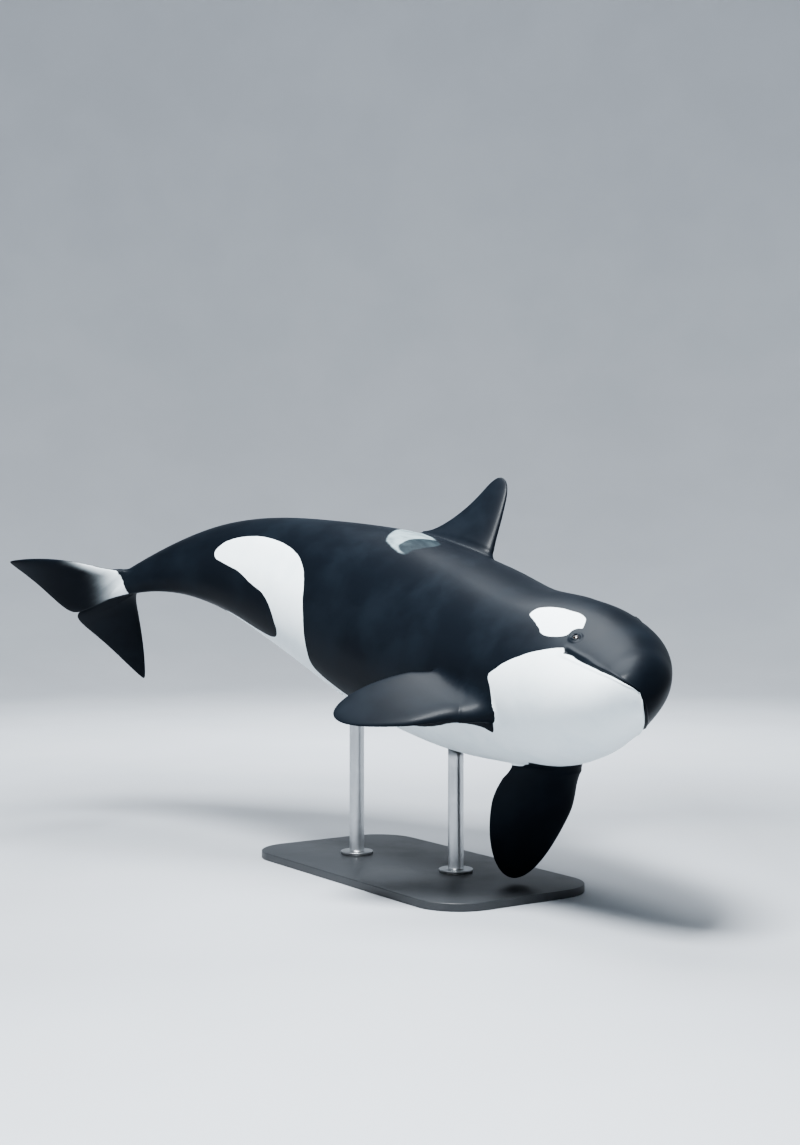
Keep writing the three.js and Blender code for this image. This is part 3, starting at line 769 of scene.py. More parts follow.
# %% Distance to an outline
def closed_curve(corners, steps=5):
    """A smooth closed curve through the corners: on each span a cubic whose end slopes are half
    the step between the neighbours on either side."""
    p = np.asarray(corners, float)
    before, after, beyond = np.roll(p, 1, 0), np.roll(p, -1, 0), np.roll(p, -2, 0)
    t = (np.arange(steps) / steps)[None, :, None]
    slope_a, slope_b = ((after - before) / 2)[:, None], ((beyond - p) / 2)[:, None]
    a, b = p[:, None], after[:, None]
    curve = (2 * t**3 - 3 * t**2 + 1) * a + (t**3 - 2 * t**2 + t) * slope_a
    curve = curve + (3 * t**2 - 2 * t**3) * b + (t**3 - t**2) * slope_b
    return curve.reshape(-1, 2)


def distance_inside(share, turn, girth, corners):
    """Metres from the outline, positive inside it. Degrees count as metres through the girth of
    the section, and the side comes from the number of spans that a ray crosses."""
    curve = closed_curve(corners)
    nearest = np.full(len(share), 1e9)
    crossed = np.zeros(len(share), bool)
    for (s0, t0), (s1, t1) in zip(curve, np.roll(curve, -1, 0)):
        ax, ay = (share - s0) * LENGTH, (turn - t0) * girth
        bx, by = (s1 - s0) * LENGTH, (t1 - t0) * girth
        along = np.clip((ax * bx + ay * by) / np.maximum(bx * bx + by * by, 1e-12), 0, 1)
        nearest = np.minimum(nearest, (ax - along * bx) ** 2 + (ay - along * by) ** 2)
        if t0 != t1:
            spans = (turn > min(t0, t1)) & (turn <= max(t0, t1))
            crossed ^= spans & (share < s0 + (turn - t0) * (s1 - s0) / (t1 - t0))
    return np.where(crossed, 1, -1) * np.sqrt(nearest)


# %% Outlines of the markings
EYE_PATCH = [
    (.1829, 113.4), (.1826, 117.0), (.1779, 119.6), (.1670, 122.4), (.1540, 124.0), (.1432, 124.5),
    (.1320, 125.4), (.1245, 124.8), (.1180, 122.8), (.1118, 118.6), (.1080, 115.6), (.1079, 114.0),
    (.1116, 112.6), (.1138, 109.2), (.1130, 105.3), (.1166, 102.5), (.1257, 100.2), (.1362, 99.7),
    (.1450, 100.9), (.1519, 103.4), (.1660, 107.2), (.1798, 110.6),
]
mouth_shares = np.array([0.004, 0.02, 0.04, 0.06, 0.08, 0.09])
mouth_edge = [(s, 90 + math.degrees(mouth_angle(s * LENGTH))) for s in mouth_shares]
WHITE_BELOW = mouth_edge + [
    (.0950, 91.4), (.0966, 92.0), (.0990, 94.4), (.1010, 94.9), (.1070, 94.1), (.1141, 92.4),
    (.1266, 89.1), (.1366, 85.8), (.1451, 82.2), (.1558, 78.0), (.1666, 73.4), (.1753, 68.6),
    (.1842, 63.7), (.1795, 55.2), (.1760, 42.0), (.1790, 32.0), (.1862, 24.0), (.1942, 18.0),
    (.2000, 19.4), (.2070, 22.5), (.2300, 25.5), (.2600, 25.5), (.3000, 21.0), (.3500, 17.0),
    (.4200, 16.0),
    (.5000, 17.0), (.5380, 21.0), (.5501, 28.2), (.5551, 38.8), (.5626, 51.1), (.5704, 62.3),
    (.5797, 71.9), (.5876, 80.7), (.5976, 89.1), (.6094, 95.3), (.6244, 101.1), (.6505, 106.7),
    (.6830, 110.1), (.7098, 110.7), (.7338, 108.3), (.7535, 103.5), (.7638, 96.9), (.7681, 90.1),
    (.7645, 83.1), (.7556, 79.1), (.7320, 74.3), (.7095, 71.5), (.6827, 65.3), (.6552, 61.7),
    (.6369, 54.1), (.6244, 43.0), (.6191, 34.8), (.6230, 26.0), (.6400, 18.0),
    (.6800, 10.0), (.7300, 5.0), (.7450, -4.0), (.7400, -30.0), (.6000, -60.0), (.3000, -60.0),
    (.0500, -60.0), (-.0200, -60.0), (-.0250, 40.0),
]
saddle_rear = [
    (.4628, 126.4), (.4766, 125.2), (.4901, 127.0), (.5058, 130.2), (.5185, 134.1), (.5275, 145.0),
    (.5320, 156.0), (.5330, 168.0), (.5270, 181.0), (.5100, 181.0), (.5030, 172.0), (.4968, 163.3),
    (.4760, 158.5), (.4603, 153.9),
]
SADDLE = saddle_rear + [
    (.4462, 150.3), (.4430, 146.0), (.4462, 141.0), (.4530, 136.0), (.4600, 131.0),
]
SADDLE_LIGHT = saddle_rear + [
    (.4713, 150.6), (.4805, 147.1), (.4876, 141.9), (.4895, 136.5), (.4878, 131.5), (.4755, 127.9),
]
STOCK_EDGE = 0.9265


# %% Work out the markings at any straight point
def fluke_white_and_shade(points):
    """How white the underside of a fluke is, with painted shade and a painted highlight in it. It
    is full behind the stock and fades outwards over a third of a metre, partly the real dark margin
    and partly painted shade, and a thin rim of the leading edge stays pale along half the span as
    a painted highlight. Both fades are smooth steps. The left fluke keeps a twentieth, up to a
    crisp line along the keel, as painted shade on a white underside."""
    x, span = points[:, 0], np.clip(np.abs(points[:, 1]) / FLUKE["span"], 0, 1)
    front, rear = fluke_chord(span)
    chord = (x - front) / (rear - front)
    outwards = x - STOCK_EDGE * LENGTH + 0.5 * np.abs(points[:, 1])
    # The outward fade is partly the dark margin and partly painted shade; the pale leading-edge rim
    # is a painted highlight.
    by_root = 1 - smooth_step(outwards, 0.0, 0.42)
    by_edge = (1 - smooth_step(chord, 0.0, 0.22)) * (1 - smooth_step(span, 0.36, 0.72))
    # Painted shade: the left fluke is white underneath but keeps only a twentieth of it.
    right = lerp(1.0, 0.05, smooth_step(points[:, 1], -0.004, 0.004))
    return np.maximum(by_root, 0.8 * by_edge) * right


def markings(points):
    """The distances and fades that the skin's material turns into its pattern, by name. The fluke's
    fade also holds painted shade.
    """
    x = np.clip(points[:, 0], 0.001, LAST_RING)
    mirrored = np.stack([x, np.abs(points[:, 1]), points[:, 2]], axis=-1)
    turn = 90 + np.degrees(body_angle(mirrored))
    back, belly = section(x)[:2]
    girth = np.radians(1) * np.maximum((back + belly) / 2, 0.06)
    share = x / LENGTH
    patch = distance_inside(share, turn, girth, EYE_PATCH)
    below = distance_inside(share, turn, girth, WHITE_BELOW)
    saddle = distance_inside(share, turn, girth, SADDLE)
    saddle_light = distance_inside(share, turn, girth, SADDLE_LIGHT)
    on_fin = smooth_step(height_over_skin(points), 0.008, 0.024) * smooth_step(x, 0.9, 0.95)
    on_root = smooth_step(height_over_skin(points), 0.003, 0.014) * smooth_step(x, 1.0, 1.05)
    under_fluke = fluke_middle(points[:, 0], points[:, 1]) - points[:, 2]
    fluke_share = smooth_step(np.abs(points[:, 1]), 0.07, 0.13)
    under = under_fluke * 6 * fluke_share + (1 - fluke_share) * (104 - turn) * girth
    return {
        "straight": points,
        "white": np.maximum(patch, below) * (1 - on_fin) - 0.05 * on_fin,
        "saddle": saddle * (1 - on_root) - 0.05 * on_root,
        "saddle_light": saddle_light,
        "fluke_white": np.minimum(points[:, 0] - STOCK_EDGE * LENGTH, under),
        "fluke_fade": fluke_white_and_shade(points),
    }


def store(mesh, name, values):
    """A number, or three, for every point of a mesh."""
    kind, field = ("FLOAT", "value") if values.ndim == 1 else ("FLOAT_VECTOR", "vector")
    layer = mesh.attributes.new(name, kind, "POINT")
    layer.data.foreach_set(field, values.astype(np.float32).ravel())


skin_markings = markings(straight)
for name, values in skin_markings.items():
    store(skin.data, name, values)
white_share = float((skin_markings["white"] > 0).mean())
print("white covers about", round(white_share * 100), "% of the points")

# %% [markdown]
# ## A small toolkit for materials
#
# Shader nodes can be wired by hand, one link at a time, which hides the maths. Here a small class
# wraps a socket, so that an expression such as 1 - mask adds the node it needs.


# %% The toolkit
class Value:
    """A socket of a material, with arithmetic that adds Math nodes. The reflected forms let a
    number stand first, as in 1 - mask."""

    def __init__(self, finish, socket):
        self.finish = finish
        self.socket = socket

    def _math(self, operation, *inputs):
        """One Math node for an operation on wrapped sockets or numbers."""
        return self.finish.node("ShaderNodeMath", {"operation": operation}, dict(enumerate(inputs)))

    def __add__(self, other):
        return self._math("ADD", self, other)

    __radd__ = __add__

    def __sub__(self, other):
        return self._math("SUBTRACT", self, other)

    def __rsub__(self, other):
        return self._math("SUBTRACT", other, self)

    def __mul__(self, other):
        return self._math("MULTIPLY", self, other)

    __rmul__ = __mul__

    def step(self, low, high):
        """0 below low, 1 above high, smooth between."""
        settings = {"interpolation_type": "SMOOTHSTEP"}
        ends = {"Value": self, "From Min": low, "From Max": high}
        return self.finish.node("ShaderNodeMapRange", settings, ends)


class Finish:
    """A material under construction, with one Principled shader."""

    def __init__(self, name, **fixed):
        self.material = bpy.data.materials.new(name)
        self.material.use_nodes = True
        self.tree = self.material.node_tree
        self.shader = self.tree.nodes["Principled BSDF"]
        for socket, value in fixed.items():
            self.shader.inputs[socket.replace("_", " ")].default_value = value

    def plug(self, socket, value):
        """Links a wrapped socket, or sets a plain value."""
        if isinstance(value, Value):
            self.tree.links.new(value.socket, socket)
        else:
            socket.default_value = value

    def node(self, kind, settings, inputs, output=0):
        """One node: its settings first, then the values or links of its sockets."""
        made = self.tree.nodes.new(kind)
        for name, value in settings.items():
            setattr(made, name, value)
        for key, value in inputs.items():
            self.plug(made.inputs[key], value)
        return Value(self, made.outputs[output])

    def attribute(self, name, output="Fac"):
        """A number, or a vector, that the mesh keeps for every point."""
        return self.node("ShaderNodeAttribute", {"attribute_name": name}, {}, output)

    def place(self):
        """The point in the object's own space."""
        return self.node("ShaderNodeTexCoord", {}, {}, "Object")

    def stretched(self, place, scale):
        """A place scaled along each axis, for patterns that run one way."""
        return self.node("ShaderNodeMapping", {}, {"Vector": place, "Scale": scale})

    def noise(self, place, scale, detail=2.0, roughness=0.5):
        """A cloudy pattern from 0 to 1, with so many blobs to the metre."""
        inputs = {"Vector": place, "Scale": scale, "Detail": detail, "Roughness": roughness}
        return self.node("ShaderNodeTexNoise", {}, inputs)

    def mix(self, share, first, second):
        """A colour between two, by a share."""
        made = self.tree.nodes.new("ShaderNodeMix")
        made.data_type = "RGBA"
        self.plug(made.inputs["Factor"], share)
        colours = [socket for socket in made.inputs if socket.type == "RGBA"]
        for socket, colour in zip(colours, (first, second)):
            self.plug(socket, colour)
        return Value(self, next(socket for socket in made.outputs if socket.type == "RGBA"))

    def bump(self, height, strength, distance):
        """The normal of a surface that a height pattern raises by a distance in metres."""
        inputs = {"Height": height, "Strength": strength, "Distance": distance}
        return self.node("ShaderNodeBump", {}, inputs)

    def set(self, **inputs):
        """Plugs patterns into the shader's sockets, with spaces written as underscores."""
        for socket, value in inputs.items():
            self.plug(self.shader.inputs[socket.replace("_", " ")], value)
        return self.material


def rgb(red, green, blue):
    """A colour as the shader takes it."""
    return (red, green, blue, 1.0)


# %% [markdown]
# ## Skin
#
# Orca skin is like wet rubber: blue-black above, cool white below, with a faint soft sheen. Up
# close the black is cloudy and the white has a faint grey wash. The edge between black and white is
# crisp, but a little uneven at the scale of a fingertip. All of it could be one painted image, but
# an image stretches over the fins, so each finish is mixed from a distance and a cloudy pattern.
# Under the flukes the white also carries painted shade and a painted highlight.

# %% The skin's material
DARK = rgb(0.0050, 0.0070, 0.0105)
DARK_CLOUD = rgb(0.0080, 0.0115, 0.0165)
WHITE = rgb(0.78, 0.84, 0.86)
WHITE_WASH = rgb(0.66, 0.74, 0.77)
SADDLE_PALE = rgb(0.26, 0.32, 0.34)
SADDLE_GREY = rgb(0.150, 0.190, 0.205)
SADDLE_WASH = rgb(0.030, 0.042, 0.049)
SADDLE_DEEP = rgb(0.013, 0.020, 0.025)

hide = Finish("orca skin", Coat_Weight=0.03, Coat_Roughness=0.2, IOR=1.36, Specular_IOR_Level=0.11)
place = hide.attribute("straight", "Vector")
ragged = hide.noise(place, 22.0, 3.0, 0.5) - 0.5
edge = hide.attribute("white") + ragged * 0.007
white_mask = edge.step(-0.0022, 0.0022)
cloud = hide.noise(place, 2.2, 5.0, 0.6).step(0.40, 0.72)
wash = hide.noise(place, 3.4, 4.0, 0.6).step(0.42, 0.75)
dark_skin = hide.mix(cloud, DARK, DARK_CLOUD)
white_skin = hide.mix(wash * 0.6, WHITE, WHITE_WASH)

saddle_field = hide.attribute("saddle")
swirl = hide.noise(hide.stretched(place, (1.0, 2.2, 2.2)), 5.5, 3.0, 0.6)
saddle_mask = (saddle_field + (swirl - 0.5) * 0.03).step(-0.006, 0.020)
light_mask = (hide.attribute("saddle_light") + (swirl - 0.5) * 0.02).step(-0.004, 0.016)
saddle_grey = hide.mix(swirl.step(0.35, 0.65), SADDLE_DEEP, SADDLE_WASH)
saddle_light = hide.mix(swirl.step(0.30, 0.60), SADDLE_GREY, SADDLE_PALE)
coat = hide.mix(saddle_mask * 0.8, dark_skin, hide.mix(light_mask, saddle_grey, saddle_light))

# The white under the flukes is multiplied by the fade, which holds painted shade on the left fluke
# and towards the tips, and a painted highlight along the leading edge.
fluke_mask = (hide.attribute("fluke_white") + ragged * 0.03).step(-0.003, 0.005)
fluke_fade = (hide.attribute("fluke_fade") + (swirl - 0.5) * 0.16).step(-0.1, 1.1)
coat = hide.mix(fluke_mask * fluke_fade * fluke_fade, coat, white_skin)
coat = hide.mix(white_mask, coat, white_skin)

fine = hide.noise(place, 260.0, 2.0, 0.5)
ripple = hide.noise(place, 24.0, 3.0, 0.5)
hide.set(
    Base_Color=coat,
    Roughness=0.40 + 0.08 * cloud + 0.05 * (fine - 0.5),
    Normal=hide.bump(ripple * 0.6 + fine * 0.25, 0.10, 0.004),
)
skin.data.materials.clear()
skin.data.materials.append(hide.material)
skin.data.polygons.foreach_set("material_index", np.zeros(len(skin.data.polygons), np.int32))

SKIN_NODES = [
    "head", "lower_jaw", "torso_front", "torso_rear", "tail_root", "tail_stock", "dorsal_fin",
    "fluke_left", "fluke_right", "flipper_left", "flipper_right",
]
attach(skin, "root")
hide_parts(*SKIN_NODES)
print("the skin stands for", len(SKIN_NODES), "nodes")

# %% [markdown]
# ## Eyes
#
# An orca's eye is small, dark brown and glassy, with a black pupil. A glass shell over a separate
# iris is one way, but it bakes badly. A glossy ball with its iris painted by the distance from the
# eye's own axis looks the same from every side.


# %% Eyeballs
def ball_points(rings, around):
    """Points of a unit ball: z is the cosine of the angle from the pole, and the rest its sine
    carried round."""
    tilt = np.pi * np.arange(1, rings) / rings
    round_angle = 2 * np.pi * np.arange(around) / around
    x = np.sin(tilt)[:, None] * np.cos(round_angle)[None, :]
    y = np.sin(tilt)[:, None] * np.sin(round_angle)[None, :]
    z = np.broadcast_to(np.cos(tilt)[:, None], x.shape)
    return np.concatenate([np.stack([x, y, z], axis=-1).reshape(-1, 3), [[0, 0, 1], [0, 0, -1]]])


EYE_RINGS, EYE_LINES = 40, 64
unit_ball = ball_points(EYE_RINGS, EYE_LINES)
eye_quads, eye_fans = tube_faces(EYE_RINGS - 1, EYE_LINES, len(unit_ball) - 2, len(unit_ball) - 1)

glass = Finish("eye", Roughness=0.04, Coat_Weight=0.5, Coat_Roughness=0.04, IOR=1.38)
axis_share = glass.attribute("from_axis")
streaks = glass.noise(glass.stretched(glass.place(), (90.0, 90.0, 90.0)), 3.0, 4.0, 0.6)
iris = glass.mix(streaks, rgb(0.006, 0.004, 0.003), rgb(0.022, 0.012, 0.007))
inside_iris = glass.mix(axis_share.step(0.20, 0.24), rgb(0.002, 0.002, 0.003), iris)
glass.set(Base_Color=glass.mix(axis_share.step(0.50, 0.58), inside_iris, rgb(0.016, 0.014, 0.014)))

eyes = []
for name, side in (("eye_left", 1), ("eye_right", -1)):
    mirror = np.array([1, side, 1])
    centre = pose((eye_centre * mirror)[None, :])[0]
    look = unit(pose(((eye_centre + eye_out * 0.01) * mirror)[None, :])[0] - centre)
    across = unit(np.cross(look, [0.0, 0.0, 1.0]))
    frame_axes = np.stack([across, np.cross(look, across), look])
    points = centre + (unit_ball * EYE_RADIUS) @ frame_axes
    eye = add_object(name + "_ball", mesh_from(name + "_ball", points, eye_quads, eye_fans))
    store(eye.data, "from_axis", np.hypot(unit_ball[:, 0], unit_ball[:, 1]) + (unit_ball[:, 2] < 0))
    eye.data.materials.append(glass.material)
    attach(eye, "root")
    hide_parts(name)
    eyes.append(eye)
print("made", len(eyes), "eyes")

# %% [markdown]
# ## Eyelids
#
# The lids are a soft ring round the eyeball, with a thick rim and a fold. They could be pushed out
# of the body's own grid, but its squares are too coarse for so small an almond. So a ring of their
# own follows the almond: inside it hugs the ball, and outside it runs level into the skin. It has
# the same material and the same measures as the skin, so the join can't be seen.

# %% Lid profile
LID_HALF_LENGTH, LID_HALF_HEIGHT = 0.026, 0.0155
LID_REACH = 0.062
LID_LINES, LID_STEPS = 144, 44
LID_LOOP = LID_STEPS + 4  # two more points down the wall and two on the hidden side
LID_HIDDEN_AT = 18
lid_turn = (2 * np.pi * np.arange(LID_LINES) / LID_LINES)[:, None]
lid_share = (np.arange(LID_STEPS) / (LID_STEPS - 1))[None, :] ** 1.25


def lid_ring():
    """For each line round the eye and each step outwards: the offsets back and up from the eye's
    middle, and the distance from the rim. The rim is an almond that tilts down in front, and the
    outer edge is a circle."""
    pinch = np.abs(np.sin(lid_turn)) ** 0.35
    rim_back = LID_HALF_LENGTH * np.cos(lid_turn)
    rim_up = LID_HALF_HEIGHT * np.sin(lid_turn) * pinch + 0.14 * rim_back
    back = lerp(rim_back, LID_REACH * np.cos(lid_turn), lid_share)
    up = lerp(rim_up, LID_REACH * np.sin(lid_turn), lid_share)
    return back, up, np.hypot(back - rim_back, up - rim_up)


def lid_height(back, up, gap):
    """The rim stands 3 mm over the ball, the lid sinks to the skin with the distance, and a soft
    crease runs over it, deepest in the upper lid. The last centimetre tapers from a tenth of a
    millimetre over the skin to two tenths under it, so no step shows."""
    reach = np.minimum(np.hypot(back[:, :1], up[:, :1]), EYE_RADIUS * 0.98)
    ball = EYE_BULGE - EYE_RADIUS + np.sqrt(EYE_RADIUS**2 - reach**2)
    rim = np.maximum(ball, 0) + 0.003
    upper = 0.35 + 0.65 * smooth_step(np.sin(lid_turn), -0.6, 0.7)
    lid = rim * bump(gap, 0.021) + 0.0016 * bump(gap - 0.005, 0.004)
    crease = -0.0019 * upper * bump(gap - 0.0135, 0.0040)
    brow = 0.0010 * upper * bump(gap - 0.021, 0.007)
    level = 1 - smooth_step(gap, 0.022, 0.036)
    taper = 0.0003 * smooth_step(np.hypot(back, up), 0.052, LID_REACH)
    return (lid + crease + brow) * level + 0.0001 - taper


def lid_points(side):
    """The lid's outer face on the curved skin, then its inner wall down the ball and its hidden
    underside, which close the ring."""
    back, up, gap = lid_ring()
    at_eye = plain_skin(EYE_AT, eye_angle)
    step_back = np.linalg.norm(plain_skin(EYE_AT + 0.01, eye_angle) - at_eye) / 0.01
    step_up = np.linalg.norm(plain_skin(EYE_AT, eye_angle + 0.01) - at_eye) / 0.01
    x, angle = EYE_AT + back / step_back, eye_angle + up / step_up
    height = lid_height(back, up, gap) + relief_at(x, angle)
    outer = plain_skin(x, angle) + skin_normal(x, angle) * height[..., None]
    inwards = unit(eye_place - outer[:, 0])
    wall = [
        outer[:, 0] + inwards * 0.0012 - eye_out * 0.0018,
        outer[:, 0] + inwards * 0.001 - eye_out * 0.010,
    ]
    hidden = [outer[:, LID_HIDDEN_AT] - eye_out * 0.016, outer[:, -1] - eye_out * 0.006]
    loop = np.concatenate([outer[:, ::-1], np.stack(wall + hidden, axis=1)], axis=1)
    return loop * np.array([1, side, 1])


# %% Make the lids
ring, line = np.meshgrid(np.arange(LID_LINES), np.arange(LID_LOOP), indexing="ij")
next_ring, next_line = (ring + 1) % LID_LINES, (line + 1) % LID_LOOP
lid_quads = np.stack([
    ring * LID_LOOP + line, next_ring * LID_LOOP + line,
    next_ring * LID_LOOP + next_line, ring * LID_LOOP + next_line,
], axis=-1).reshape(-1, 4)
for name, side in (("lids_left", 1), ("lids_right", -1)):
    points = lid_points(side).reshape(-1, 3)
    lids = add_object(name, mesh_from(name, pose(points), lid_quads))
    for field, values in markings(points).items():
        store(lids.data, field, values)
    lids.data.materials.append(hide.material)
    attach(lids, "root")
print("the lids have", len(lid_quads) * 2, "triangles each")

# %% [markdown]
# ## Display stand
#
# The animal is held as a museum holds it: two steel rods rise from flanges on a heavy painted
# plate. The plate's edges and the flanges' rims are rounded, because a sharp edge never catches the
# light, and the solid's own facets would show.


# %% Plate
def rounded_outline(half_length, half_width, corner, steps):
    """The outline of a rectangle with round corners, anticlockwise from above."""
    turn = np.linspace(0, np.pi / 2, steps)
    quarters = []
    for quarter, (sx, sy) in enumerate([(1, 1), (-1, 1), (-1, -1), (1, -1)]):
        angle = turn + quarter * np.pi / 2
        centre = np.array([sx * (half_length - corner), sy * (half_width - corner)])
        quarters.append(centre + corner * np.stack([np.cos(angle), np.sin(angle)], axis=-1))
    return np.concatenate(quarters)


BASE_LENGTH, BASE_WIDTH, BASE_HEIGHT, BASE_CORNER = 2.400, 1.200, 0.050, 0.300
EDGE_RADIUS = 0.006
CORNER_STEPS = 25
PLATE_LINES = 4 * CORNER_STEPS
edge_turn = np.linspace(0, np.pi / 2, 7)
profile_inset = EDGE_RADIUS * (1 - np.sin(edge_turn))
profile_drop = EDGE_RADIUS * (1 - np.cos(edge_turn))
insets = np.concatenate([profile_inset, profile_inset[::-1]])
heights = np.concatenate([profile_drop, BASE_HEIGHT - profile_drop[::-1]])
plate_loops = np.stack([
    np.concatenate([
        rounded_outline(BASE_LENGTH / 2 - inset, BASE_WIDTH / 2 - inset, BASE_CORNER - inset,
                        CORNER_STEPS),
        np.full((PLATE_LINES, 1), height),
    ], axis=1)
    for inset, height in zip(insets, heights)
])
plate_points = np.concatenate([
    plate_loops.reshape(-1, 3), [[0, 0, 0]], [[0, 0, BASE_HEIGHT]],
])
first_end, last_end = len(plate_points) - 2, len(plate_points) - 1
plate_quads, plate_fans = tube_faces(len(plate_loops), PLATE_LINES, first_end, last_end)
plate = add_object("base_plate", mesh_from("base_plate", plate_points, plate_quads, plate_fans))

paint = Finish("stand paint", Roughness=0.5, Metallic=0.0, Coat_Weight=0.15, Coat_Roughness=0.3)
orange_peel = paint.noise(paint.place(), 160.0, 3.0, 0.5)
dust = paint.noise(paint.place(), 2.6, 5.0, 0.6).step(0.45, 0.8)
paint.set(
    Base_Color=paint.mix(dust, rgb(0.030, 0.033, 0.037), rgb(0.048, 0.051, 0.055)),
    Roughness=0.44 + 0.14 * dust + 0.05 * (orange_peel - 0.5),
    Normal=paint.bump(orange_peel, 0.12, 0.0006),
)
plate.data.materials.append(paint.material)
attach(plate, "root")
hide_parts("stand_base")
print("the plate is", BASE_LENGTH, "by", BASE_WIDTH, "m")

# %% [markdown]
# ## Rods
#
# Each rod is a profile turned about its own axis: a flange with a rounded rim, a weld fillet and a
# straight shaft that runs up into the belly, where the skin closes round it. A cylinder could do
# for the shaft, but one turned profile makes the flange, its rim and the weld in a single piece.

# %% Turned rods
ROD_RADIUS, FLANGE_RADIUS, FLANGE_HEIGHT, FILLET = 0.050, 0.110, 0.022, 0.010
FLANGE_EDGE = 0.004
RODS = {"stand_rod_front": (0.350, 0.085), "stand_rod_rear": (-0.560, -0.090)}


def arc(centre_r, centre_z, radius, start, end, steps=7):
    """Points of a circle's arc in the plane of radius and height, angles in degrees."""
    turn = np.radians(np.linspace(start, end, steps))
    return np.stack([centre_r + radius * np.cos(turn), centre_z + radius * np.sin(turn)], axis=-1)


def turned(profile, around, place):
    """A profile of radius and height carried round a vertical axis at a place."""
    angle = 2 * np.pi * np.arange(around) / around
    x = profile[:, :1] * np.cos(angle) + place[0]
    y = profile[:, :1] * np.sin(angle) + place[1]
    z = np.broadcast_to(profile[:, 1:], x.shape)
    ends = [[place[0], place[1], profile[0, 1]], [place[0], place[1], profile[-1, 1]]]
    return np.concatenate([np.stack([x, y, z], axis=-1).reshape(-1, 3), ends])


steel = Finish("rod steel", Roughness=0.3, Metallic=1.0)
turning = steel.noise(steel.stretched(steel.place(), (1.0, 1.0, 90.0)), 12.0, 4.0, 0.7)
smear = steel.noise(steel.place(), 7.0, 4.0, 0.6)
steel.set(
    Base_Color=steel.mix(smear.step(0.4, 0.7), rgb(0.50, 0.51, 0.52), rgb(0.60, 0.61, 0.62)),
    Roughness=0.24 + 0.10 * turning + 0.10 * smear,
    Normal=steel.bump(turning, 0.10, 0.0004),
)
ROD_LINES = 96
for name, place_on_plate in RODS.items():
    low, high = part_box(name)
    foot, top = BASE_HEIGHT, high.z + 0.004
    rim = FLANGE_RADIUS - FLANGE_EDGE
    profile = np.concatenate([
        [[FLANGE_RADIUS, foot]],
        arc(rim, foot + FLANGE_HEIGHT - FLANGE_EDGE, FLANGE_EDGE, 0, 90),
        arc(ROD_RADIUS + FILLET, foot + FLANGE_HEIGHT + FILLET, FILLET, 270, 180),
        np.stack([np.full(12, ROD_RADIUS), np.linspace(foot + 0.05, top, 12)], axis=-1),
    ])
    points = turned(profile, ROD_LINES, place_on_plate)
    quads, fans = tube_faces(len(profile), ROD_LINES, len(points) - 2, len(points) - 1)
    rod = add_object(name + "_turned", mesh_from(name + "_turned", points, quads, fans))
    rod.data.materials.append(steel.material)
    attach(rod, "root")
    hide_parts(name)
    print(name, "stands", round(top - foot, 3), "m over the plate")

# %% [markdown]
# ## Studio
#
# The floor is a wide pale bowl whose rim rises far behind the camera, so that every view has the
# same seamless backdrop. A key lamp stands high on the camera's side, so the chin and the patch
# shine and the belly falls into shade, and a soft lamp overhead draws the back. Four lamps face
# outwards and light only the backdrop, so it is as pale behind the left side as behind the right.

# %% Floor
FLOOR_FLAT, FLOOR_RISE = 16.0, 14.0
bowl = np.concatenate([
    np.stack([np.linspace(0.5, FLOOR_FLAT - 1, 12), np.zeros(12)], axis=-1),
    arc(FLOOR_FLAT, FLOOR_RISE, FLOOR_RISE, -90, 20, 45),
])
floor_rings, floor_lines = len(bowl), 96
angle = 2 * np.pi * np.arange(floor_lines) / floor_lines
floor_points = np.stack([
    bowl[:, :1] * np.cos(angle), bowl[:, :1] * np.sin(angle),
    np.broadcast_to(bowl[:, 1:], (floor_rings, floor_lines)),
], axis=-1).reshape(-1, 3)
floor_points = np.concatenate([floor_points, [[0, 0, 0]]])
ring, line = np.meshgrid(np.arange(floor_rings - 1), np.arange(floor_lines), indexing="ij")
following = (line + 1) % floor_lines
floor_quads = np.stack([
    ring * floor_lines + line, (ring + 1) * floor_lines + line,
    (ring + 1) * floor_lines + following, ring * floor_lines + following,
], axis=-1).reshape(-1, 4)
line = np.arange(floor_lines)
hub = np.full(floor_lines, len(floor_points) - 1)
floor_fan = np.stack([hub, line, (line + 1) % floor_lines], -1)
floor = add_object("floor", mesh_from("floor", floor_points, floor_quads, floor_fan))
matte = Finish("floor", Roughness=0.85)
matte.set(Base_Color=matte.mix(matte.noise(matte.place(), 0.6, 3.0).step(0.3, 0.7),
                               rgb(0.44, 0.46, 0.49), rgb(0.46, 0.48, 0.51)))
floor.data.materials.append(matte.material)


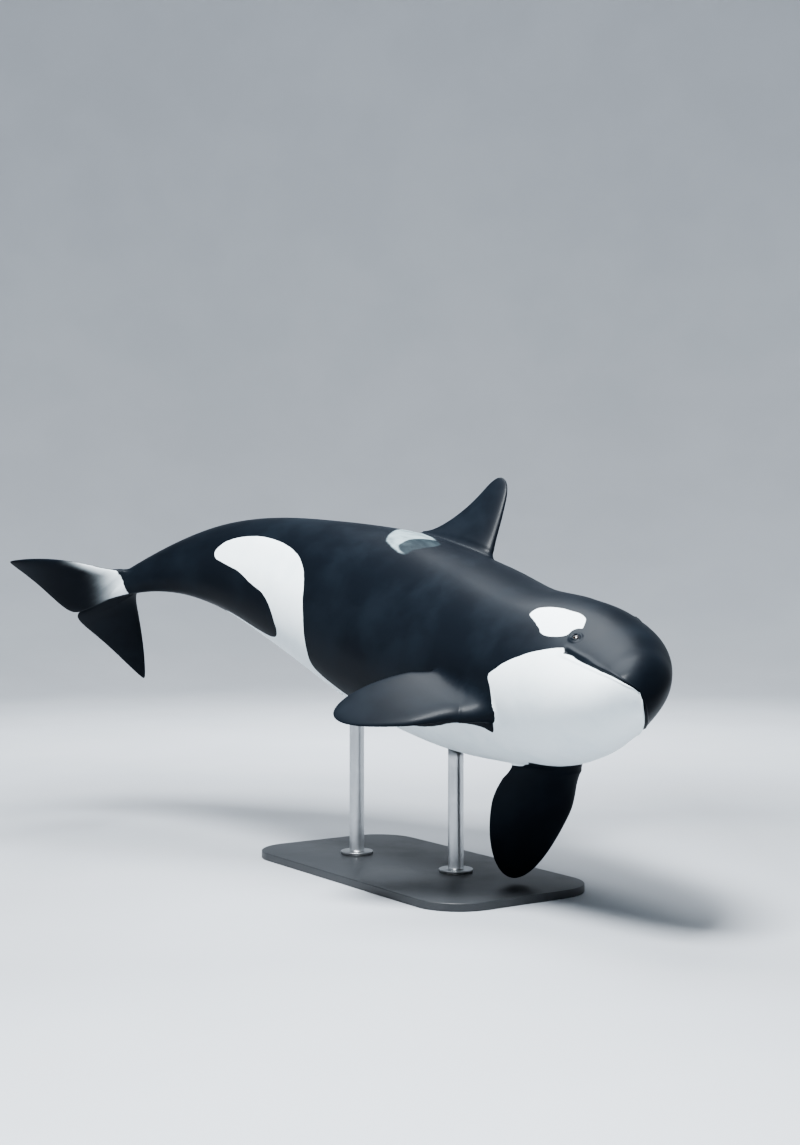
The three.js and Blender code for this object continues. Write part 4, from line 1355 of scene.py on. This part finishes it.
# %% Lights
def soft_lamp(name, place, target, size, power, colour):
    """A square lamp at a place, facing a target."""
    lamp = bpy.data.lights.new(name, "AREA")
    lamp.size = size
    lamp.energy = power
    lamp.color = colour
    holder = bpy.data.objects.new(name, lamp)
    bpy.context.scene.collection.objects.link(holder)
    holder.location = place
    aim = holder.location.copy()
    for k in range(3):
        aim[k] = target[k] - place[k]
    holder.rotation_euler = aim.to_track_quat("-Z", "Y").to_euler()
    return holder


soft_lamp("key", (2.2, -2.4, 7.0), (0.6, 0.0, 1.5), 2.0, 1350, (0.95, 0.98, 1.0))
soft_lamp("overhead", (-0.8, 0.5, 6.8), (-0.4, 0.0, 1.4), 3.0, 460, (0.93, 0.97, 1.0))
for number in range(4):
    round_angle = math.radians(146 + 90 * number)
    outwards = math.cos(round_angle), math.sin(round_angle)
    soft_lamp(
        f"backdrop {number}", (6 * outwards[0], 6 * outwards[1], 8.5),
        (18 * outwards[0], 18 * outwards[1], 3.5), 6.0, 3600, (0.93, 0.97, 1.0),
    )
world = bpy.data.worlds.new("studio")
world.use_nodes = True
sky = world.node_tree.nodes["Background"]
sky.inputs["Color"].default_value = rgb(0.82, 0.88, 0.93)
sky.inputs["Strength"].default_value = 0.12
bpy.context.scene.world = world
bpy.context.scene.view_settings.look = "AgX - Medium High Contrast"

# %% [markdown]
# ## Camera
#
# The camera stands where the picture was taken from: level, to the right of the animal's head and
# low enough to see its belly. Its lens comes from the size of the animal in the frame.

# %% Camera
PICTURE_HEIGHT = 1145
FOCAL_PIXELS = 1575.46
SENSOR = 36.0
CAMERA_PLACE = (8.5422, -5.8556, 1.9709)
CAMERA_AHEAD = (-0.82983, 0.55802, 0.0)
lens = bpy.data.cameras.new("camera")
lens.sensor_width = SENSOR
lens.lens = FOCAL_PIXELS * SENSOR / PICTURE_HEIGHT
lens.clip_end = 200
camera = bpy.data.objects.new("camera", lens)
bpy.context.scene.collection.objects.link(camera)
camera.location = CAMERA_PLACE
camera.rotation_euler = (math.pi / 2, 0, math.atan2(CAMERA_AHEAD[1], CAMERA_AHEAD[0]) - math.pi / 2)
bpy.context.scene.camera = camera
print("the lens is", round(lens.lens, 2), "mm")
